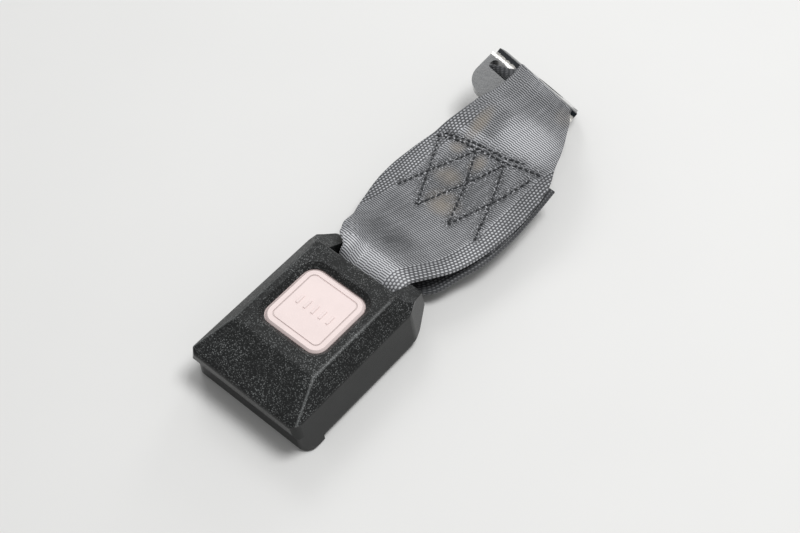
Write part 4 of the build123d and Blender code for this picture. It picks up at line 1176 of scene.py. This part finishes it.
class BUCKLE_OT_steelwork(bpy.types.Operator):
    """Give the frame, the latch, the pin, the screws and the springs their steel"""
    bl_idname = "buckle.steelwork"
    bl_label = "Steelwork"

    def execute(self, context):
        settings = settings_of(context, "buckle_steel")
        plated = steel("plated_steel", tuple(settings.plated_colour), along=1, scratch=0.5 * MM,
                       bright=0.28, dull=0.46)
        hardened = steel("hardened_steel", tuple(settings.hardened_colour), along=0, scratch=0.4 * MM,
                         bright=0.30, dull=0.55)
        wire = steel("spring_wire", tuple(settings.wire_colour), along=2, scratch=0.2 * MM,
                     bright=0.22, dull=0.36)
        screws = steel("screw_steel", tuple(settings.hardened_colour), along=2, scratch=0.3 * MM,
                       bright=0.30, dull=0.50)
        dress(("frame",), plated)
        dress(("latch", "latch_pin"), hardened)
        dress(("pin_clip", "latch_spring", "button_spring_left", "button_spring_right",
               "ejector_spring_left", "ejector_spring_right"), wire)
        dress(("cover_screws",), screws)
        return {"FINISHED"}


class BUCKLE_OT_anchor_plate(bpy.types.Operator):
    """Give the anchor plate its black paint"""
    bl_idname = "buckle.anchor_plate"
    bl_label = "Anchor plate"

    def execute(self, context):
        dress(("anchor_plate",), gloss_paint(settings_of(context, "buckle_steel")))
        return {"FINISHED"}


class BUCKLE_OT_strap(bpy.types.Operator):
    """Weave the strap"""
    bl_idname = "buckle.strap"
    bl_label = "Strap"

    def execute(self, context):
        settings = settings_of(context, "buckle_strap")
        cloth = webbing_cloth(settings)
        smooth = shown("strap", strap_mesh(settings))
        strap = raised_weave(settings, cloth).applied(smooth)
        for polygon in strap.data.polygons:
            polygon.use_smooth = True
        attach(strap, "root")
        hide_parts("webbing")
        return {"FINISHED"}


class BUCKLE_OT_sewing(bpy.types.Operator):
    """Sew the strap's layers together"""
    bl_idname = "buckle.sewing"
    bl_label = "Sewing"

    def execute(self, context):
        settings = settings_of(context, "buckle_strap")
        lines = shown("sewing", sewing_mesh(bpy.data.objects["strap"].data))
        sewing = sewn_rows(settings, thread_cloth(settings)).applied(lines)
        for polygon in sewing.data.polygons:
            polygon.use_smooth = True
        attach(sewing, "root")
        return {"FINISHED"}


OPERATORS = (BUCKLE_OT_stage, BUCKLE_OT_covers, BUCKLE_OT_button, BUCKLE_OT_inner_parts,
             BUCKLE_OT_steelwork, BUCKLE_OT_anchor_plate, BUCKLE_OT_strap, BUCKLE_OT_sewing)


class BUCKLE_PT_sidebar(bpy.types.Panel):
    """Lists the pieces of the buckle and their settings"""
    bl_idname = "BUCKLE_PT_sidebar"
    bl_label = "Seat belt buckle"
    bl_space_type = "VIEW_3D"
    bl_region_type = "UI"
    bl_category = "Buckle"

    def draw(self, context):
        column = self.layout.column(align=True)
        for operator in OPERATORS:
            column.operator(operator.bl_idname)
        for name, group in SETTINGS.items():
            box = self.layout.box()
            for prop in group.__annotations__:
                box.prop(getattr(context.scene, name), prop)


def register():
    for group in (*SETTINGS.values(), *OPERATORS, BUCKLE_PT_sidebar):
        bpy.utils.register_class(group)
    for name, group in SETTINGS.items():
        setattr(bpy.types.Scene, name, PointerProperty(type=group))


def unregister():
    for name in SETTINGS:
        delattr(bpy.types.Scene, name)
    for group in reversed((*SETTINGS.values(), *OPERATORS, BUCKLE_PT_sidebar)):
        bpy.utils.unregister_class(group)


def main():
    register()
    for operator in OPERATORS:
        family, name = operator.bl_idname.split(".")
        getattr(getattr(bpy.ops, family), name)()


if __name__ == "__main__":
    main()
